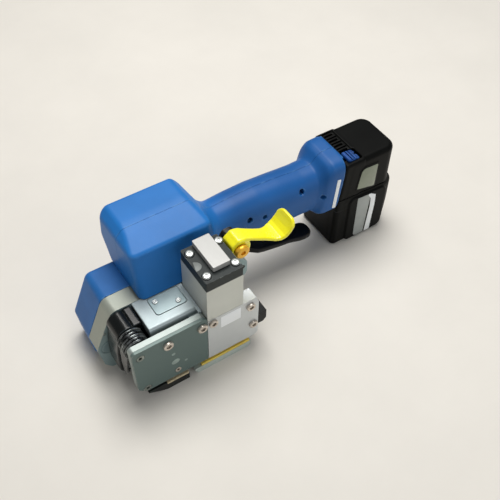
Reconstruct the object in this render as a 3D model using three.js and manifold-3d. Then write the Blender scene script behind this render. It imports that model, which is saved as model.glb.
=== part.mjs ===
// Battery strapping tool: hand-held tensioner and friction welder for plastic strap.
// Millimetres, +Z up. The tool stands on its base plate and on the battery.
// +X runs from the belt-cover end to the battery, -Y is the side the strap enters from.
// The origin is on the underside of the base plate.
import * as THREE from 'three';
import { mergeVertices } from 'three/addons/utils/BufferGeometryUtils.js';
import Module from 'manifold-3d';

const wasm = await Module();
wasm.setup();

// ---------------------------------------------------------------- driving dimensions
const GAP = 0.3;                 // clearance between touching pieces
const NEAR = -25;                // near face of the head, Y
const BASE_T = 8;                // base plate thickness
const FRAME_Y0 = 26, FRAME_Y1 = 44.5;      // belt frame plate
const COVER_Y1 = 83;             // far side of the belt cover
const HEAD_TOP = 82;             // top of the tensioner head
const SLOT_Z0 = 11.3, SLOT_Z1 = 15.5;      // strap slot
const BLOCK_X1 = 38;             // weld head width in X
const BLOCK_Z0 = 75.8, BLOCK_Z1 = 119.4;   // upper weld block
const CAP_Z1 = 130.5;            // top of the weld head cap
const PLATE_X1 = 56;             // weld front plate right edge
const BODY_Y = 64;               // parting plane of the clamshell, handle and battery centre
const HOUSE_TOP = 138;           // top of the motor housing
const WALL = 2.8;                // clamshell wall
const ROOF_SLOPE = 15;           // degrees
const HANDLE_END = 199.7;        // collar face against the battery
const BATT_X0 = 200, BATT_X1 = 272, BATT_Y0 = 36, BATT_Y1 = 92.5, BATT_TOP = 117;
const MOTOR_X = 14, MOTOR_Z = 104, MOTOR_R = 18;
const DRIVE_X = -62, DRIVE_Z = 42;         // driven pulley shaft
const PULLEY_SMALL = 7, PULLEY_LARGE = 16.5;
const HUB_X = -66, HUB_Z = 70;             // spring hub on the rocker; the rocker swings on the drive shaft
const WHEEL_X = -33, WHEEL_Z = 32, WHEEL_R = 19.9;     // tension wheel
const TEETH_DRIVE = 12, TEETH_WHEEL = 15;
const ECC_X = 14, ECC_Y = -2;              // vertical eccentric shaft
const LEVER_X = 48, LEVER_Z = 126;         // weld lever pivot
const GRIP_X = 70, GRIP_Z = 55;            // rocker lever pivot

// ---------------------------------------------------------------- helpers
function toSolid(geometry) {
  let g = geometry.index ? geometry.clone() : geometry.clone();
  g.deleteAttribute('normal');
  if (g.attributes.uv) g.deleteAttribute('uv');
  g = mergeVertices(g, 1e-4);
  return new wasm.Manifold(new wasm.Mesh({
    numProp: 3,
    vertProperties: new Float32Array(g.attributes.position.array),
    triVerts: new Uint32Array(g.index.array),
  }));
}
function toGeometry(man) {
  const m = man.getMesh();
  const g = new THREE.BufferGeometry();
  const n = m.numProp, count = m.vertProperties.length / n;
  const p = new Float32Array(count * 3);
  for (let i = 0; i < count; i++) for (let k = 0; k < 3; k++) p[3 * i + k] = m.vertProperties[n * i + k];
  g.setAttribute('position', new THREE.BufferAttribute(p, 3));
  g.setIndex(new THREE.BufferAttribute(new Uint32Array(m.triVerts), 1));
  g.computeVertexNormals();
  return g;
}
function box(x0, x1, y0, y1, z0, z1) {
  const g = new THREE.BoxGeometry(x1 - x0, y1 - y0, z1 - z0);
  g.translate((x0 + x1) / 2, (y0 + y1) / 2, (z0 + z1) / 2);
  return toSolid(g);
}
// rounded outline: points [a, b, radius]; returns Vector2 list
function outline(pts, seg = 4) {
  const out = [];
  const n = pts.length;
  for (let i = 0; i < n; i++) {
    const p = new THREE.Vector2(pts[i][0], pts[i][1]);
    const r = pts[i][2] || 0;
    if (r <= 0) { out.push(p); continue; }
    const a = new THREE.Vector2(...pts[(i + n - 1) % n].slice(0, 2)).sub(p).normalize();
    const b = new THREE.Vector2(...pts[(i + 1) % n].slice(0, 2)).sub(p).normalize();
    const half = Math.acos(Math.max(-1, Math.min(1, a.dot(b)))) / 2;
    const d = r / Math.tan(half);
    const c = a.clone().add(b).normalize().multiplyScalar(r / Math.sin(half)).add(p);
    const p0 = a.clone().multiplyScalar(d).add(p).sub(c);
    const p1 = b.clone().multiplyScalar(d).add(p).sub(c);
    const a0 = Math.atan2(p0.y, p0.x);
    let da = Math.atan2(p1.y, p1.x) - a0;
    while (da > Math.PI) da -= 2 * Math.PI;
    while (da < -Math.PI) da += 2 * Math.PI;
    for (let k = 0; k <= seg; k++) {
      const t = a0 + da * k / seg;
      out.push(new THREE.Vector2(c.x + r * Math.cos(t), c.y + r * Math.sin(t)));
    }
  }
  return out;
}
const extrude = (pts, depth, seg) => new THREE.ExtrudeGeometry(new THREE.Shape(outline(pts, seg)), { depth, bevelEnabled: false, steps: 1 });
// outline in X,Z pulled along Y
function prismY(pts, y0, y1, seg = 4) {
  const g = extrude(pts, y1 - y0, seg);
  g.rotateX(Math.PI / 2); g.translate(0, y1, 0);
  return toSolid(g);
}
// outline in X,Y pulled along Z
function prismZ(pts, z0, z1, seg = 4) {
  const g = extrude(pts, z1 - z0, seg);
  g.translate(0, 0, z0);
  return toSolid(g);
}
// outline in Y,Z pulled along X
function prismX(pts, x0, x1, seg = 4) {
  const g = extrude(pts, x1 - x0, seg);
  g.rotateX(Math.PI / 2); g.rotateZ(Math.PI / 2); g.translate(x0, 0, 0);
  return toSolid(g);
}
function cyl(axis, c, r, a0, a1, seg = 16, r2 = r) {
  const g = new THREE.CylinderGeometry(r2, r, a1 - a0, seg);   // along +Y, r at the low end
  g.translate(0, (a0 + a1) / 2, 0);
  if (axis === 'y') g.translate(c[0], 0, c[1]);
  if (axis === 'z') { g.rotateX(Math.PI / 2); g.translate(c[0], c[1], 0); }
  if (axis === 'x') { g.rotateZ(-Math.PI / 2); g.translate(0, c[0], c[1]); }
  return toSolid(g);
}
// loft: rings of superellipse sections, made by moving the vertices of a capped cylinder
// ring = {t, a0, b0, a, b, n}: position along the axis, centre, half sizes, squareness
function loft(axis, rings, seg = 28) {
  const g = new THREE.CylinderGeometry(1, 1, 1, seg, rings.length - 1);
  const p = g.attributes.position;
  for (let i = 0; i < p.count; i++) {
    const x = p.getX(i), y = p.getY(i), z = p.getZ(i);
    const k = Math.round((y + 0.5) * (rings.length - 1));
    const R = rings[k];
    const rad = Math.hypot(x, z);
    let u = 0, v = 0;
    if (rad > 1e-6) {
      const c = x / rad, s = z / rad, e = 2 / (R.n || 2);
      u = Math.sign(c) * Math.pow(Math.abs(c) < 1e-9 ? 0 : Math.abs(c), e) * R.a;
      v = Math.sign(s) * Math.pow(Math.abs(s) < 1e-9 ? 0 : Math.abs(s), e) * R.b;
    }
    if (axis === 'x') p.setXYZ(i, R.t, R.a0 - u, R.b0 + v);
    else p.setXYZ(i, R.a0 + u, R.b0 - v, R.t);
  }
  return toSolid(g);
}
// turned piece about an axis through c; profile of [radius, along]
function turned(axis, c, profile, seg = 16) {
  const g = new THREE.LatheGeometry(profile.map(([r, h]) => new THREE.Vector2(r, h)), seg);
  if (axis === 'y') g.translate(c[0], 0, c[1]);
  if (axis === 'z') { g.rotateX(Math.PI / 2); g.translate(c[0], c[1], 0); }
  if (axis === 'x') { g.rotateZ(-Math.PI / 2); g.translate(0, c[0], c[1]); }
  return toSolid(g);
}
function tube(points, r, seg = 8, steps = 60) {
  const path = new THREE.CatmullRomCurve3(points.map(q => new THREE.Vector3(...q)));
  const s = new THREE.Shape();
  for (let i = 0; i < seg; i++) {
    const t = 2 * Math.PI * i / seg;
    if (i === 0) s.moveTo(r * Math.cos(t), r * Math.sin(t)); else s.lineTo(r * Math.cos(t), r * Math.sin(t));
  }
  s.closePath();
  return toSolid(new THREE.ExtrudeGeometry(s, { steps, bevelEnabled: false, extrudePath: path }));
}

// ---------------------------------------------------------------- finishes
const finish = {
  steelGreen: new THREE.MeshStandardMaterial({ color: 0x8d978f, roughness: 0.45, metalness: 0.7 }),
  darkSteel: new THREE.MeshStandardMaterial({ color: 0x50605c, roughness: 0.5, metalness: 0.5 }),
  blackCast: new THREE.MeshStandardMaterial({ color: 0x1d211f, roughness: 0.45, metalness: 0.5 }),
  blackAnod: new THREE.MeshStandardMaterial({ color: 0x2a2e2f, roughness: 0.55, metalness: 0.4 }),
  alloy: new THREE.MeshStandardMaterial({ color: 0xa6a7a0, roughness: 0.45, metalness: 0.6 }),
  castAlloy: new THREE.MeshStandardMaterial({ color: 0xb6c4ca, roughness: 0.42, metalness: 0.6 }),
  beige: new THREE.MeshStandardMaterial({ color: 0xbdb8a4, roughness: 0.5, metalness: 0.5 }),
  brass: new THREE.MeshStandardMaterial({ color: 0xb8913a, roughness: 0.4, metalness: 0.8 }),
  screw: new THREE.MeshStandardMaterial({ color: 0xd8d0c8, roughness: 0.3, metalness: 0.9 }),
  steel: new THREE.MeshStandardMaterial({ color: 0xb5b8ba, roughness: 0.35, metalness: 0.9 }),
  spring: new THREE.MeshStandardMaterial({ color: 0x6c7476, roughness: 0.3, metalness: 0.9 }),
  blue: new THREE.MeshStandardMaterial({ color: 0x245a9e, roughness: 0.5, metalness: 0.0 }),
  yellow: new THREE.MeshStandardMaterial({ color: 0xf7e51e, roughness: 0.4, metalness: 0.0 }),
  black: new THREE.MeshStandardMaterial({ color: 0x161616, roughness: 0.5, metalness: 0.0 }),
  rubber: new THREE.MeshStandardMaterial({ color: 0x1a1a1a, roughness: 0.8, metalness: 0.0 }),
  board: new THREE.MeshStandardMaterial({ color: 0x1f5a35, roughness: 0.6, metalness: 0.0 }),
  wrap: new THREE.MeshStandardMaterial({ color: 0x2f6f86, roughness: 0.5, metalness: 0.0 }),
  silver: new THREE.MeshStandardMaterial({ color: 0xe2e2e0, roughness: 0.4, metalness: 0.6 }),
};

const strapping_tool = new THREE.Group();
function add(name, man, mat) {
  const mesh = new THREE.Mesh(toGeometry(man), mat);
  mesh.name = name;
  strapping_tool.add(mesh);
}

// ---------------------------------------------------------------- fasteners
// socket-head screw along an axis; head on the high or low side of 'face'
// dir = +1 when the head stands on the + side of the face
function socketScrew(axis, c, face, dir, R, h, r, L, seg = 14) {
  const s = R * 0.5;
  const prof = [[0, -L], [r, -L], [r, 0.15], [R, 0.15], [R, h * 0.8], [R * 0.9, h], [s, h], [s, h * 0.45], [0, h * 0.45]];
  const pts = prof.map(([a, b]) => [a, face + dir * b]);
  return turned(axis, c, dir > 0 ? pts : pts.reverse(), seg);
}
// countersunk or flush screw, head top level with the face
function flushScrew(axis, c, face, dir, R, h, r, L, seg = 14) {
  const s = R * 0.42;
  const prof = [[0, -L], [r, -L], [r, -h], [R, -0.35], [R, 0.1], [s, 0.1], [s, -h * 0.7], [0, -h * 0.7]];
  const pts = prof.map(([a, b]) => [a, face + dir * b]);
  return turned(axis, c, dir > 0 ? pts : pts.reverse(), seg);
}
const hole = (axis, c, r, a0, a1, seg = 14) => cyl(axis, c, r, a0, a1, seg);

// ================================================================ base
const SHANK = 2.0, HOLE = 2.35;
let base_plate = prismY([[-12, 0, 2], [44, 0, 2], [48, 3, 1], [48, BASE_T], [-17, BASE_T, 1.5]], NEAR, 25.6, 2);
add('base_plate', base_plate, finish.steelGreen);

let front_foot = prismY([[-46, 0, 2], [-22, 0], [-22, 8], [-46.5, 8], [-46.5, 11.3], [-66, 11.3], [-65.5, 9.5], [-54, 3.5]], NEAR, 25.6, 2)
  .add(prismY([[-65, 5, 2], [-61, 1.5, 2], [-50, 1.5], [-50, 11.3], [-65, 12.3]], 6, 25.6, 2));
add('front_foot', front_foot, finish.blackCast);

// toothed gripper plate under the tension wheel
{
  const teeth = [[-46, 8.3], [-22.4, 8.3], [-22.4, 10.6]];
  const N = 14, x0 = -23.2, x1 = -45.2;
  for (let i = 0; i <= N; i++) teeth.push([x0 + (x1 - x0) * i / N, i % 2 ? 10.7 : 11.5]);
  teeth.push([-46, 10.6]);
  add('gripper_plate', prismY(teeth, NEAR, 14, 1), finish.steel);
}
add('wear_plate', prismY([[-8, 8.3], [46.8, 8.3], [46.8, SLOT_Z0], [-8, SLOT_Z0]], NEAR + 0.1, 14, 1), finish.brass);

// ================================================================ tensioner head
const SIDE = [[-77, 82, 4], [-75, 23, 3], [-66.5, 15.5, 2], [-0.4, 15.5], [-0.4, 79, 1.5], [-4, 82, 1.5]];
const SIDE_SCREWS = [[-41.5, 71.5], [-6, 71]];
const SIDE_CSK = [[-69, 72], [-66, 20]];
let side_plate = prismY(SIDE, NEAR, -22, 3);
let side_frame = prismY(SIDE, -21.7, -16, 3);
for (const c of SIDE_SCREWS) {
  side_plate = side_plate.subtract(hole('y', c, HOLE + 0.3, -30, -20));
  side_frame = side_frame.subtract(hole('y', c, HOLE + 0.3, -30, -10));
}
for (const c of SIDE_CSK) {
  side_plate = side_plate.subtract(hole('y', c, 4.4, -30, -23.2)).subtract(hole('y', c, HOLE, -30, -20));
  side_frame = side_frame.subtract(hole('y', c, HOLE, -30, -10));
}
side_plate = side_plate.subtract(hole('y', [-33.4, 24], 3.5, -30, -20, 12));
// bearing seat of the wheel axle in the side frame
side_frame = side_frame.subtract(hole('y', [WHEEL_X, WHEEL_Z], 8.5, -30, -10, 20));
side_frame = side_frame.subtract(hole('y', [DRIVE_X, DRIVE_Z], 4.3, -30, -10, 16));
add('side_plate', side_plate, finish.darkSteel);
add('side_frame', side_frame, finish.castAlloy);
SIDE_SCREWS.forEach((c, i) => add(`side_screw_${i + 1}`, socketScrew('y', c, NEAR, -1, 5, 2.6, 2.2, 8.4, 16), finish.screw));
SIDE_CSK.forEach((c, i) => add(`side_countersunk_${i + 1}`, flushScrew('y', c, NEAR, -1, 4, 1.6, SHANK, 8.4, 14), finish.steel));
add('axle_set_screw', turned('y', [-33.4, 24], [[0, -24.2], [1.4, -24.2], [1.4, -25.6], [3.1, -25.6], [3.1, -22.4], [0, -22.4]], 14), finish.screw);

// head casting: lid over the wheel with a far wall, and a lug that reaches the side frame
let tension_head = prismY([[-51, HEAD_TOP, 1.5], [-49.5, 66], [-0.4, 66], [-0.4, HEAD_TOP]], -11, 25.7, 2)
  .subtract(prismX([[-12, HEAD_TOP - 4.6], [-11, HEAD_TOP - 4.6], [-10.65, HEAD_TOP - 2.85], [-9.65, HEAD_TOP - 1.35], [-8.15, HEAD_TOP - 0.35], [-6.4, HEAD_TOP], [-6.4, HEAD_TOP + 1], [-12, HEAD_TOP + 1]], -52, -3.6, 2))
  .add(box(-3.8, -0.4, -15.7, -10, 66, HEAD_TOP)).add(box(-12, -3.7, -15.7, -10, 66, 76))
  .add(prismY([[-49.5, 66.5], [-49.5, 60], [-16, 60], [-10, 44], [-10, 12], [-0.4, 12], [-0.4, 66.5]], 18, 25.7, 1));
const HEAD_COVER = [[-37, 1, 3], [-5.5, 1, 3], [-5.5, 21.5, 2], [-37, 21.5, 2]];
tension_head = tension_head.subtract(prismZ([[-37.5, 0.5, 3], [-5, 0.5, 3], [-5, 22, 2], [-37.5, 22, 2]], 80.8, 84, 3));
const COVER_SCREWS = [[-31.5, 15.5], [-12.5, 6]];
let head_cover = prismZ(HEAD_COVER, 81.1, 82.6, 3);
for (const c of COVER_SCREWS) {
  head_cover = head_cover.subtract(hole('z', c, HOLE - 0.5, 70, 90, 12));
  tension_head = tension_head.subtract(hole('z', c, HOLE - 0.5, 74, 90, 12));
}
for (const c of [SIDE_SCREWS[1]]) tension_head = tension_head.subtract(hole('y', [c[0], c[1]], HOLE + 0.3, -20, -12));
add('tension_head', tension_head, finish.castAlloy);
add('head_cover', head_cover, finish.castAlloy);
COVER_SCREWS.forEach((c, i) => add(`cover_screw_${i + 1}`, socketScrew('z', c, 82.6, 1, 3, 1.5, 1.5, 6, 12), finish.screw));

// rocker: black casting that carries the tension wheel and pivots in front
let rocker = prismY([[-79.5, 24], [-79.3, 48], [-76.9, 66, 2], [-66, 62], [-52, 60, 2], [-46, 50, 4], [-26, 45, 8], [-19, 33, 8], [-26, 20, 8], [-44, 18, 4], [-52, 16], [-68, 15.6], [-79.5, 16.5, 2]], 3.5, 17.2, 3);
rocker = rocker.add(prismY([[-79.5, 16.5, 3], [-79.3, 48, 4], [-76.9, 68, 6], [-66, 66], [-52, 60], [-52, 16], [-68, 15.6, 1]], 3.5, 25.4, 3));
rocker = rocker.add(prismY([[-77.4, 20], [-79.5, 26, 3], [-79.3, 48, 4], [-76.9, 68, 4], [-72, 66], [-76.6, 57], [-77.3, 50], [-77.3, 27], [-72, 17.8], [-73.6, 16]], -15.3, 4, 2)
  // the foot of the near wall rises towards the strap side
  .subtract(prismX([[-20, 0], [5, 0], [5, 13], [-8.5, 33.5, 5], [-20, 35]], -85, -60, 3)));
rocker = rocker.add(cyl('y', [HUB_X, HUB_Z], 11.3, 3.2, 25.4, 26)).add(box(-62, -52.2, 3, 25.4, 58.5, 81.4));
rocker = rocker.subtract(box(-80, -52.1, -20, 3.1, 60, 82).subtract(box(-62.2, -52, -1, 4, 58, 82)));
rocker = rocker.add(cyl('y', [HUB_X, HUB_Z], 9, -15.3, 4, 22));
rocker = rocker.subtract(cyl('y', [DRIVE_X, DRIVE_Z], 4.3, -20, 30, 20));
rocker = rocker.subtract(cyl('y', [WHEEL_X, WHEEL_Z], 4.3, -20, 30, 16));
add('rocker', rocker, finish.blackCast);
// coil spring round the rocker hub, plain closed coils
{
  const pts = [], turns = 4.6, r = 11.1;
  for (let i = 0; i <= turns * 10; i++) {
    const t = 2 * Math.PI * i / 10 + 0.3;
    pts.push([HUB_X + r * Math.cos(t), 1.1 - 3.3 * i / 10, HUB_Z + r * Math.sin(t)]);
  }
  add('torsion_spring', tube(pts, 1.5, 6, 64), finish.spring);
}

// tension wheel, its gear and the drive shaft
{
  // knurled wheel: saw-tooth rim
  const shape = [];
  const N = 36;
  for (let i = 0; i < N; i++) {
    const t = 2 * Math.PI * i / N, t2 = 2 * Math.PI * (i + 0.5) / N;
    shape.push([WHEEL_X + WHEEL_R * Math.cos(t), WHEEL_Z + WHEEL_R * Math.sin(t)]);
    shape.push([WHEEL_X + (WHEEL_R - 0.9) * Math.cos(t2), WHEEL_Z + (WHEEL_R - 0.9) * Math.sin(t2)]);
  }
  let wheel = prismY(shape, -14.5, -4.2, 1).add(cyl('y', [WHEEL_X, WHEEL_Z], 4, -21, 16.6, 16));
  add('tension_wheel', wheel, finish.steel);
}
// ================================================================ belt side
const FRAME = [[-71.5, 82.2, 9], [-90.6, 36, 8], [-86, 9, 6], [-79, 0, 4], [48, 0], [48, 8], [66, 30, 4], [76, 46, 6], [76, 62, 6], [60, 80], [58, 80], [-40, 80], [-44, 82.2, 2]];
let main_frame = prismY(FRAME, FRAME_Y0, FRAME_Y1, 3);
main_frame = main_frame.subtract(hole('y', [DRIVE_X, DRIVE_Z], 4.3, 20, 50, 20));
main_frame = main_frame.subtract(hole('y', [GRIP_X, GRIP_Z], 3.4, 20, 50, 14));
add('main_frame', main_frame, finish.beige);

const COVER = [[-71.5, 82.2, 9], [-90.6, 36, 8], [-87, 6, 6], [-80, 2.5, 3], [-41.2, 2.5, 2], [-41.2, 82.2]];
const COVER_IN = [[-69.8, 79.4, 7], [-87.5, 36.3, 6], [-84.3, 8.5, 4], [-79.5, 5.3, 2], [-30, 5.3], [-30, 79.4]];
let belt_cover = prismY(COVER, FRAME_Y1 + 0.4, COVER_Y1, 4).subtract(prismY(COVER_IN, FRAME_Y1 - 2, COVER_Y1 - 2.8, 3));
add('belt_cover', belt_cover, finish.blue);

let drive_shaft = cyl('y', [DRIVE_X, DRIVE_Z], 4, -21.2, 66, 16).add(cyl('y', [DRIVE_X, DRIVE_Z], 6, 45.2, 49.5, 16));
add('drive_shaft', drive_shaft, finish.steel);
function pulley(cx, cz, r, bore) {
  let p = cyl('y', [cx, cz], r, 50, 60, 26).add(cyl('y', [cx, cz], r + 1.6, 49.8, 50.6, 26)).add(cyl('y', [cx, cz], r + 1.6, 59.6, 60.4, 26));
  return p.subtract(cyl('y', [cx, cz], bore, 40, 70, 16));
}
add('driven_pulley', pulley(DRIVE_X, DRIVE_Z, PULLEY_LARGE, 4.3), finish.steel);
add('motor_pulley', pulley(MOTOR_X, MOTOR_Z, PULLEY_SMALL, 3.3), finish.steel);
// flat toothed belt round both pulleys
{
  const a = new THREE.Vector2(MOTOR_X, MOTOR_Z), b = new THREE.Vector2(DRIVE_X, DRIVE_Z);
  const run = (off) => {
    const pts = [];
    const d = b.clone().sub(a), L = d.length(), dir = Math.atan2(d.y, d.x);
    const r1 = PULLEY_SMALL + off, r2 = PULLEY_LARGE + off;
    const phi = Math.acos((r1 - r2) / L);
    const N = 9;
    for (let i = 0; i <= N; i++) {           // round the small pulley, away from the large one
      const t = dir + phi + (2 * Math.PI - 2 * phi) * i / N;
      pts.push([a.x + r1 * Math.cos(t), a.y + r1 * Math.sin(t)]);
    }
    for (let i = 0; i <= 14; i++) {
      const t = dir - phi + (2 * phi) * i / 14;
      pts.push([b.x + r2 * Math.cos(t), b.y + r2 * Math.sin(t)]);
    }
    return pts;
  };
  add('drive_belt', prismY(run(1.9), 51.2, 59, 1).subtract(prismY(run(0.35), 50, 60, 1)), finish.rubber);
}
// spur gears from the drive shaft to the tension wheel
function gear(cx, cz, pitch, teeth, y0, y1, bore, phase) {
  const pts = [], add_ = 1.6, ded = 1.9, q = 2 * Math.PI / teeth;
  for (let i = 0; i < teeth; i++) {
    const t = phase + q * i;
    for (const [w, r] of [[-1.25, pitch - ded], [-0.55, pitch + add_], [0.55, pitch + add_], [1.25, pitch - ded]]) pts.push([cx + r * Math.cos(t + w / pitch), cz + r * Math.sin(t + w / pitch)]);
  }
  return prismY(pts, y0, y1, 1).subtract(cyl('y', [cx, cz], bore, y0 - 1, y1 + 1, 16));
}
{
  const dx = WHEEL_X - DRIVE_X, dz = WHEEL_Z - DRIVE_Z, dist = Math.hypot(dx, dz), dir = Math.atan2(dz, dx);
  const p1 = dist * TEETH_DRIVE / (TEETH_DRIVE + TEETH_WHEEL), p2 = dist - p1;
  add('drive_gear', gear(DRIVE_X, DRIVE_Z, p1, TEETH_DRIVE, -3.8, 3.1, 4.3, dir), finish.steel);
  add('tension_gear', gear(WHEEL_X, WHEEL_Z, p2, TEETH_WHEEL, -3.8, 3.1, 4.3, dir + Math.PI + Math.PI / TEETH_WHEEL), finish.steel);
}

// ================================================================ motor
let motor = cyl('y', [MOTOR_X, MOTOR_Z], MOTOR_R, 62, 92, 28).add(cyl('y', [MOTOR_X, MOTOR_Z], 8, 60.9, 62.2, 20))
  .subtract(cyl('y', [MOTOR_X, MOTOR_Z], 3.4, 50, 90, 16));
add('motor', motor, finish.steel);
// shaft with the bevel pinion cut on its near end
let shaft = cyl('y', [MOTOR_X, MOTOR_Z], 3, 8, 88, 14).add(cyl('y', [MOTOR_X, MOTOR_Z], 5, 5, 8.1, 20, 7.3)).add(cyl('y', [MOTOR_X, MOTOR_Z], 5.5, 8, 12, 20));
add('motor_shaft', shaft, finish.steel);

// ================================================================ weld head
const FRONT_SCREWS = [[5.6, 70], [46.5, 66], [50, 36]];
let weld_front_plate = prismY([[0.1, SLOT_Z1], [52.4, SLOT_Z1], [PLATE_X1, 19.2, 1.5], [PLATE_X1, 67], [53, 75.4], [0.1, 75.4]], NEAR, -12, 2)
  .add(box(38.4, 52, -12.1, -5, 48, 60));
for (const c of FRONT_SCREWS) weld_front_plate = weld_front_plate.subtract(hole('y', c, HOLE, -30, -14));
add('weld_front_plate', weld_front_plate, finish.alloy);
FRONT_SCREWS.forEach((c, i) => add(`front_screw_${i + 1}`, socketScrew('y', c, NEAR, -1, 4.6, 2.4, SHANK, 8, 14), finish.screw));

// lower weld frame behind the front plate, with the well of the shoe
let weld_frame = box(0.1, BLOCK_X1, -11.7, 25.7, 15.8, 75.4)
  .subtract(box(4, 34, -14, 17.5, 10, 62))
  .subtract(cyl('z', [ECC_X, ECC_Y], 8.3, 60, 80, 20));
add('weld_frame', weld_frame, finish.castAlloy);

let weld_block = box(0, BLOCK_X1, NEAR, 20, BLOCK_Z0, BLOCK_Z1)
  .add(prismY([[BLOCK_X1 - 1, 90], [55, 112, 4], [55, 127, 5], [52.5, 132.4, 4], [43.5, 132.4, 4], [40, 127, 2], [40, 119.3], [BLOCK_X1 - 1, 119.3]], 13.2, 20, 2))
  .subtract(cyl('y', [LEVER_X, LEVER_Z], 4.3, 10, 30, 16))
  .subtract(box(3, 27, -14, 17, 84, 125))
  .subtract(cyl('z', [ECC_X, ECC_Y], 8.3, 70, 90, 20))
  .subtract(cyl('y', [MOTOR_X, MOTOR_Z], 5, 10, 25, 16));
const CAP_SCREWS = [[5, 12], [5, -17.5], [34, -17.5], [35, 12]];
let weld_cap = prismZ([[0, NEAR, 1.2], [BLOCK_X1, NEAR, 1.2], [BLOCK_X1, 20, 1.2], [0, 20, 1.2]], BLOCK_Z1 + GAP, CAP_Z1, 2)
  .subtract(cyl('z', [ECC_X, ECC_Y], 8.3, 110, 127.5, 20));
for (const c of CAP_SCREWS) {
  weld_cap = weld_cap.subtract(hole('z', c, HOLE, 100, 140)).subtract(cyl('z', c, 5, CAP_Z1 - 2.5, 140, 18));
  weld_block = weld_block.subtract(hole('z', c, HOLE, 108, 140));
}
weld_cap = weld_cap.subtract(box(11.6, 30.2, -18.1, 21, CAP_Z1 - 0.01, 140));
add('weld_block', weld_block, finish.alloy);
add('weld_cap', weld_cap, finish.blackAnod);
CAP_SCREWS.forEach((c, i) => add(`cap_screw_${i + 1}`, socketScrew('z', c, CAP_Z1 - 2.5, 1, 4, 4.2, SHANK, 16, 16), finish.screw));
add('name_block', prismZ([[12, -17, 1], [29.6, -17, 1], [29.6, 20, 1], [12, 20, 1]], CAP_Z1 + GAP, 136.6, 2), finish.silver);

// eccentric shaft, bevel gear and bearings
let ecc = cyl('z', [ECC_X, ECC_Y], 4, 44, 126.5, 16).add(cyl('z', [ECC_X + 0.8, ECC_Y], 5, 34, 44.2, 18))
  .add(cyl('z', [ECC_X, ECC_Y], 9.8, 96, 98.7, 22, 6.7)).add(cyl('z', [ECC_X, ECC_Y], 6.5, 90, 96.1, 18));
add('eccentric_shaft', ecc, finish.steel);
const bearing = (z0, z1) => cyl('z', [ECC_X, ECC_Y], 8, z0, z1, 22).subtract(cyl('z', [ECC_X, ECC_Y], 4.3, z0 - 1, z1 + 1, 16));
add('eccentric_bearing_lower', bearing(66, 76.5), finish.steel);
add('eccentric_bearing_upper', bearing(118, 127), finish.steel);

// vibrating welding shoe: arm on the eccentric with a toothed foot
{
  let shoe = box(5, 33, -10, 10, 19, 27).add(box(6, 24, -10, 8, 26.9, 43.5));
  shoe = shoe.subtract(cyl('z', [ECC_X, ECC_Y], 7, 33, 50, 20));
  const teeth = [[5, 19.2], [33, 19.2], [33, 16.6]];
  for (let i = 0; i <= 14; i++) teeth.push([33 - 28 * i / 14, i % 2 ? 16.6 : 15.8]);
  shoe = shoe.add(prismY(teeth, -10, 10, 1));
  add('welding_shoe', shoe, finish.steel);
}

// black block behind the front plate
let rear_block = prismY([[PLATE_X1 + 0.3, 31], [62, 31], [65.5, 35], [65.5, 46.5], [PLATE_X1 + 0.3, 46.5]], NEAR, 5, 1)
  .add(prismY([[BLOCK_X1 + 0.4, 31], [PLATE_X1 + 0.5, 31], [PLATE_X1 + 0.5, 46.5], [BLOCK_X1 + 0.4, 46.5]], -11.6, 5, 1))
  .add(box(44.5, 56, 4, 25.7, 31, 46.5));
add('rear_block', rear_block, finish.blackCast);

// ================================================================ weld lever
{
  // side profile in X,Z: ring round the pivot, arm dipping to a valley, turned-up thumb paddle
  const c = [[50, 135.2], [57, 135], [64, 133], [71, 129.6], [78, 125.2], [84, 122.4], [90, 122.4], [94.5, 125.4], [98, 130.4], [101.5, 136.6], [104.5, 142.6]];
  const pts = [], low = [];
  for (let i = 0; i < c.length; i++) {
    const p = c[Math.max(0, i - 1)], q = c[Math.min(c.length - 1, i + 1)];
    const d = new THREE.Vector2(q[0] - p[0], q[1] - p[1]).normalize();
    pts.push([c[i][0] - d.y * 1.7, c[i][1] + d.x * 1.7]);
    low.push([c[i][0] + d.y * 1.7, c[i][1] - d.x * 1.7]);
  }
  const strip = prismY([...pts, ...low.reverse()], -20, 20, 1);
  const plan = prismZ([[44, -4.5], [56, -4.5, 3], [64, -10, 4], [78, -11.5, 6], [86, -15, 5], [108, -15, 10], [108, 12.5, 10], [88, 12.5, 4], [82, 5.5, 4], [62, 5.5, 3], [52, 12, 4], [44, 12]], 90, 160, 3);
  let lever = strip.intersect(plan).add(cyl('y', [LEVER_X, LEVER_Z], 11, -4.5, 12, 24));
  lever = lever.subtract(cyl('y', [LEVER_X, LEVER_Z], 6.3, -10, 20, 20));
  lever = lever.subtract(box(30, BLOCK_X1 + 1.3, -30, 30, 100, 136));
  // below the pivot the ring is turned down to 9.6, so it clears the block through the whole swing
  lever = lever.subtract(box(30, LEVER_X, -30, 30, 100, LEVER_Z).subtract(cyl('y', [LEVER_X, LEVER_Z], 9.6, -31, 31, 24)));
  add('weld_lever', lever, finish.yellow);
}
add('lever_hub_bolt', turned('y', [LEVER_X, LEVER_Z], [[0, 19], [4, 19], [4, 12.6], [6, 12.6], [6, -4.9], [6.6, -4.9], [6.6, -8], [5.6, -9.3], [2.4, -9.3], [2.4, -7.4], [0, -7.4]].reverse(), 18), finish.brass);
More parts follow.
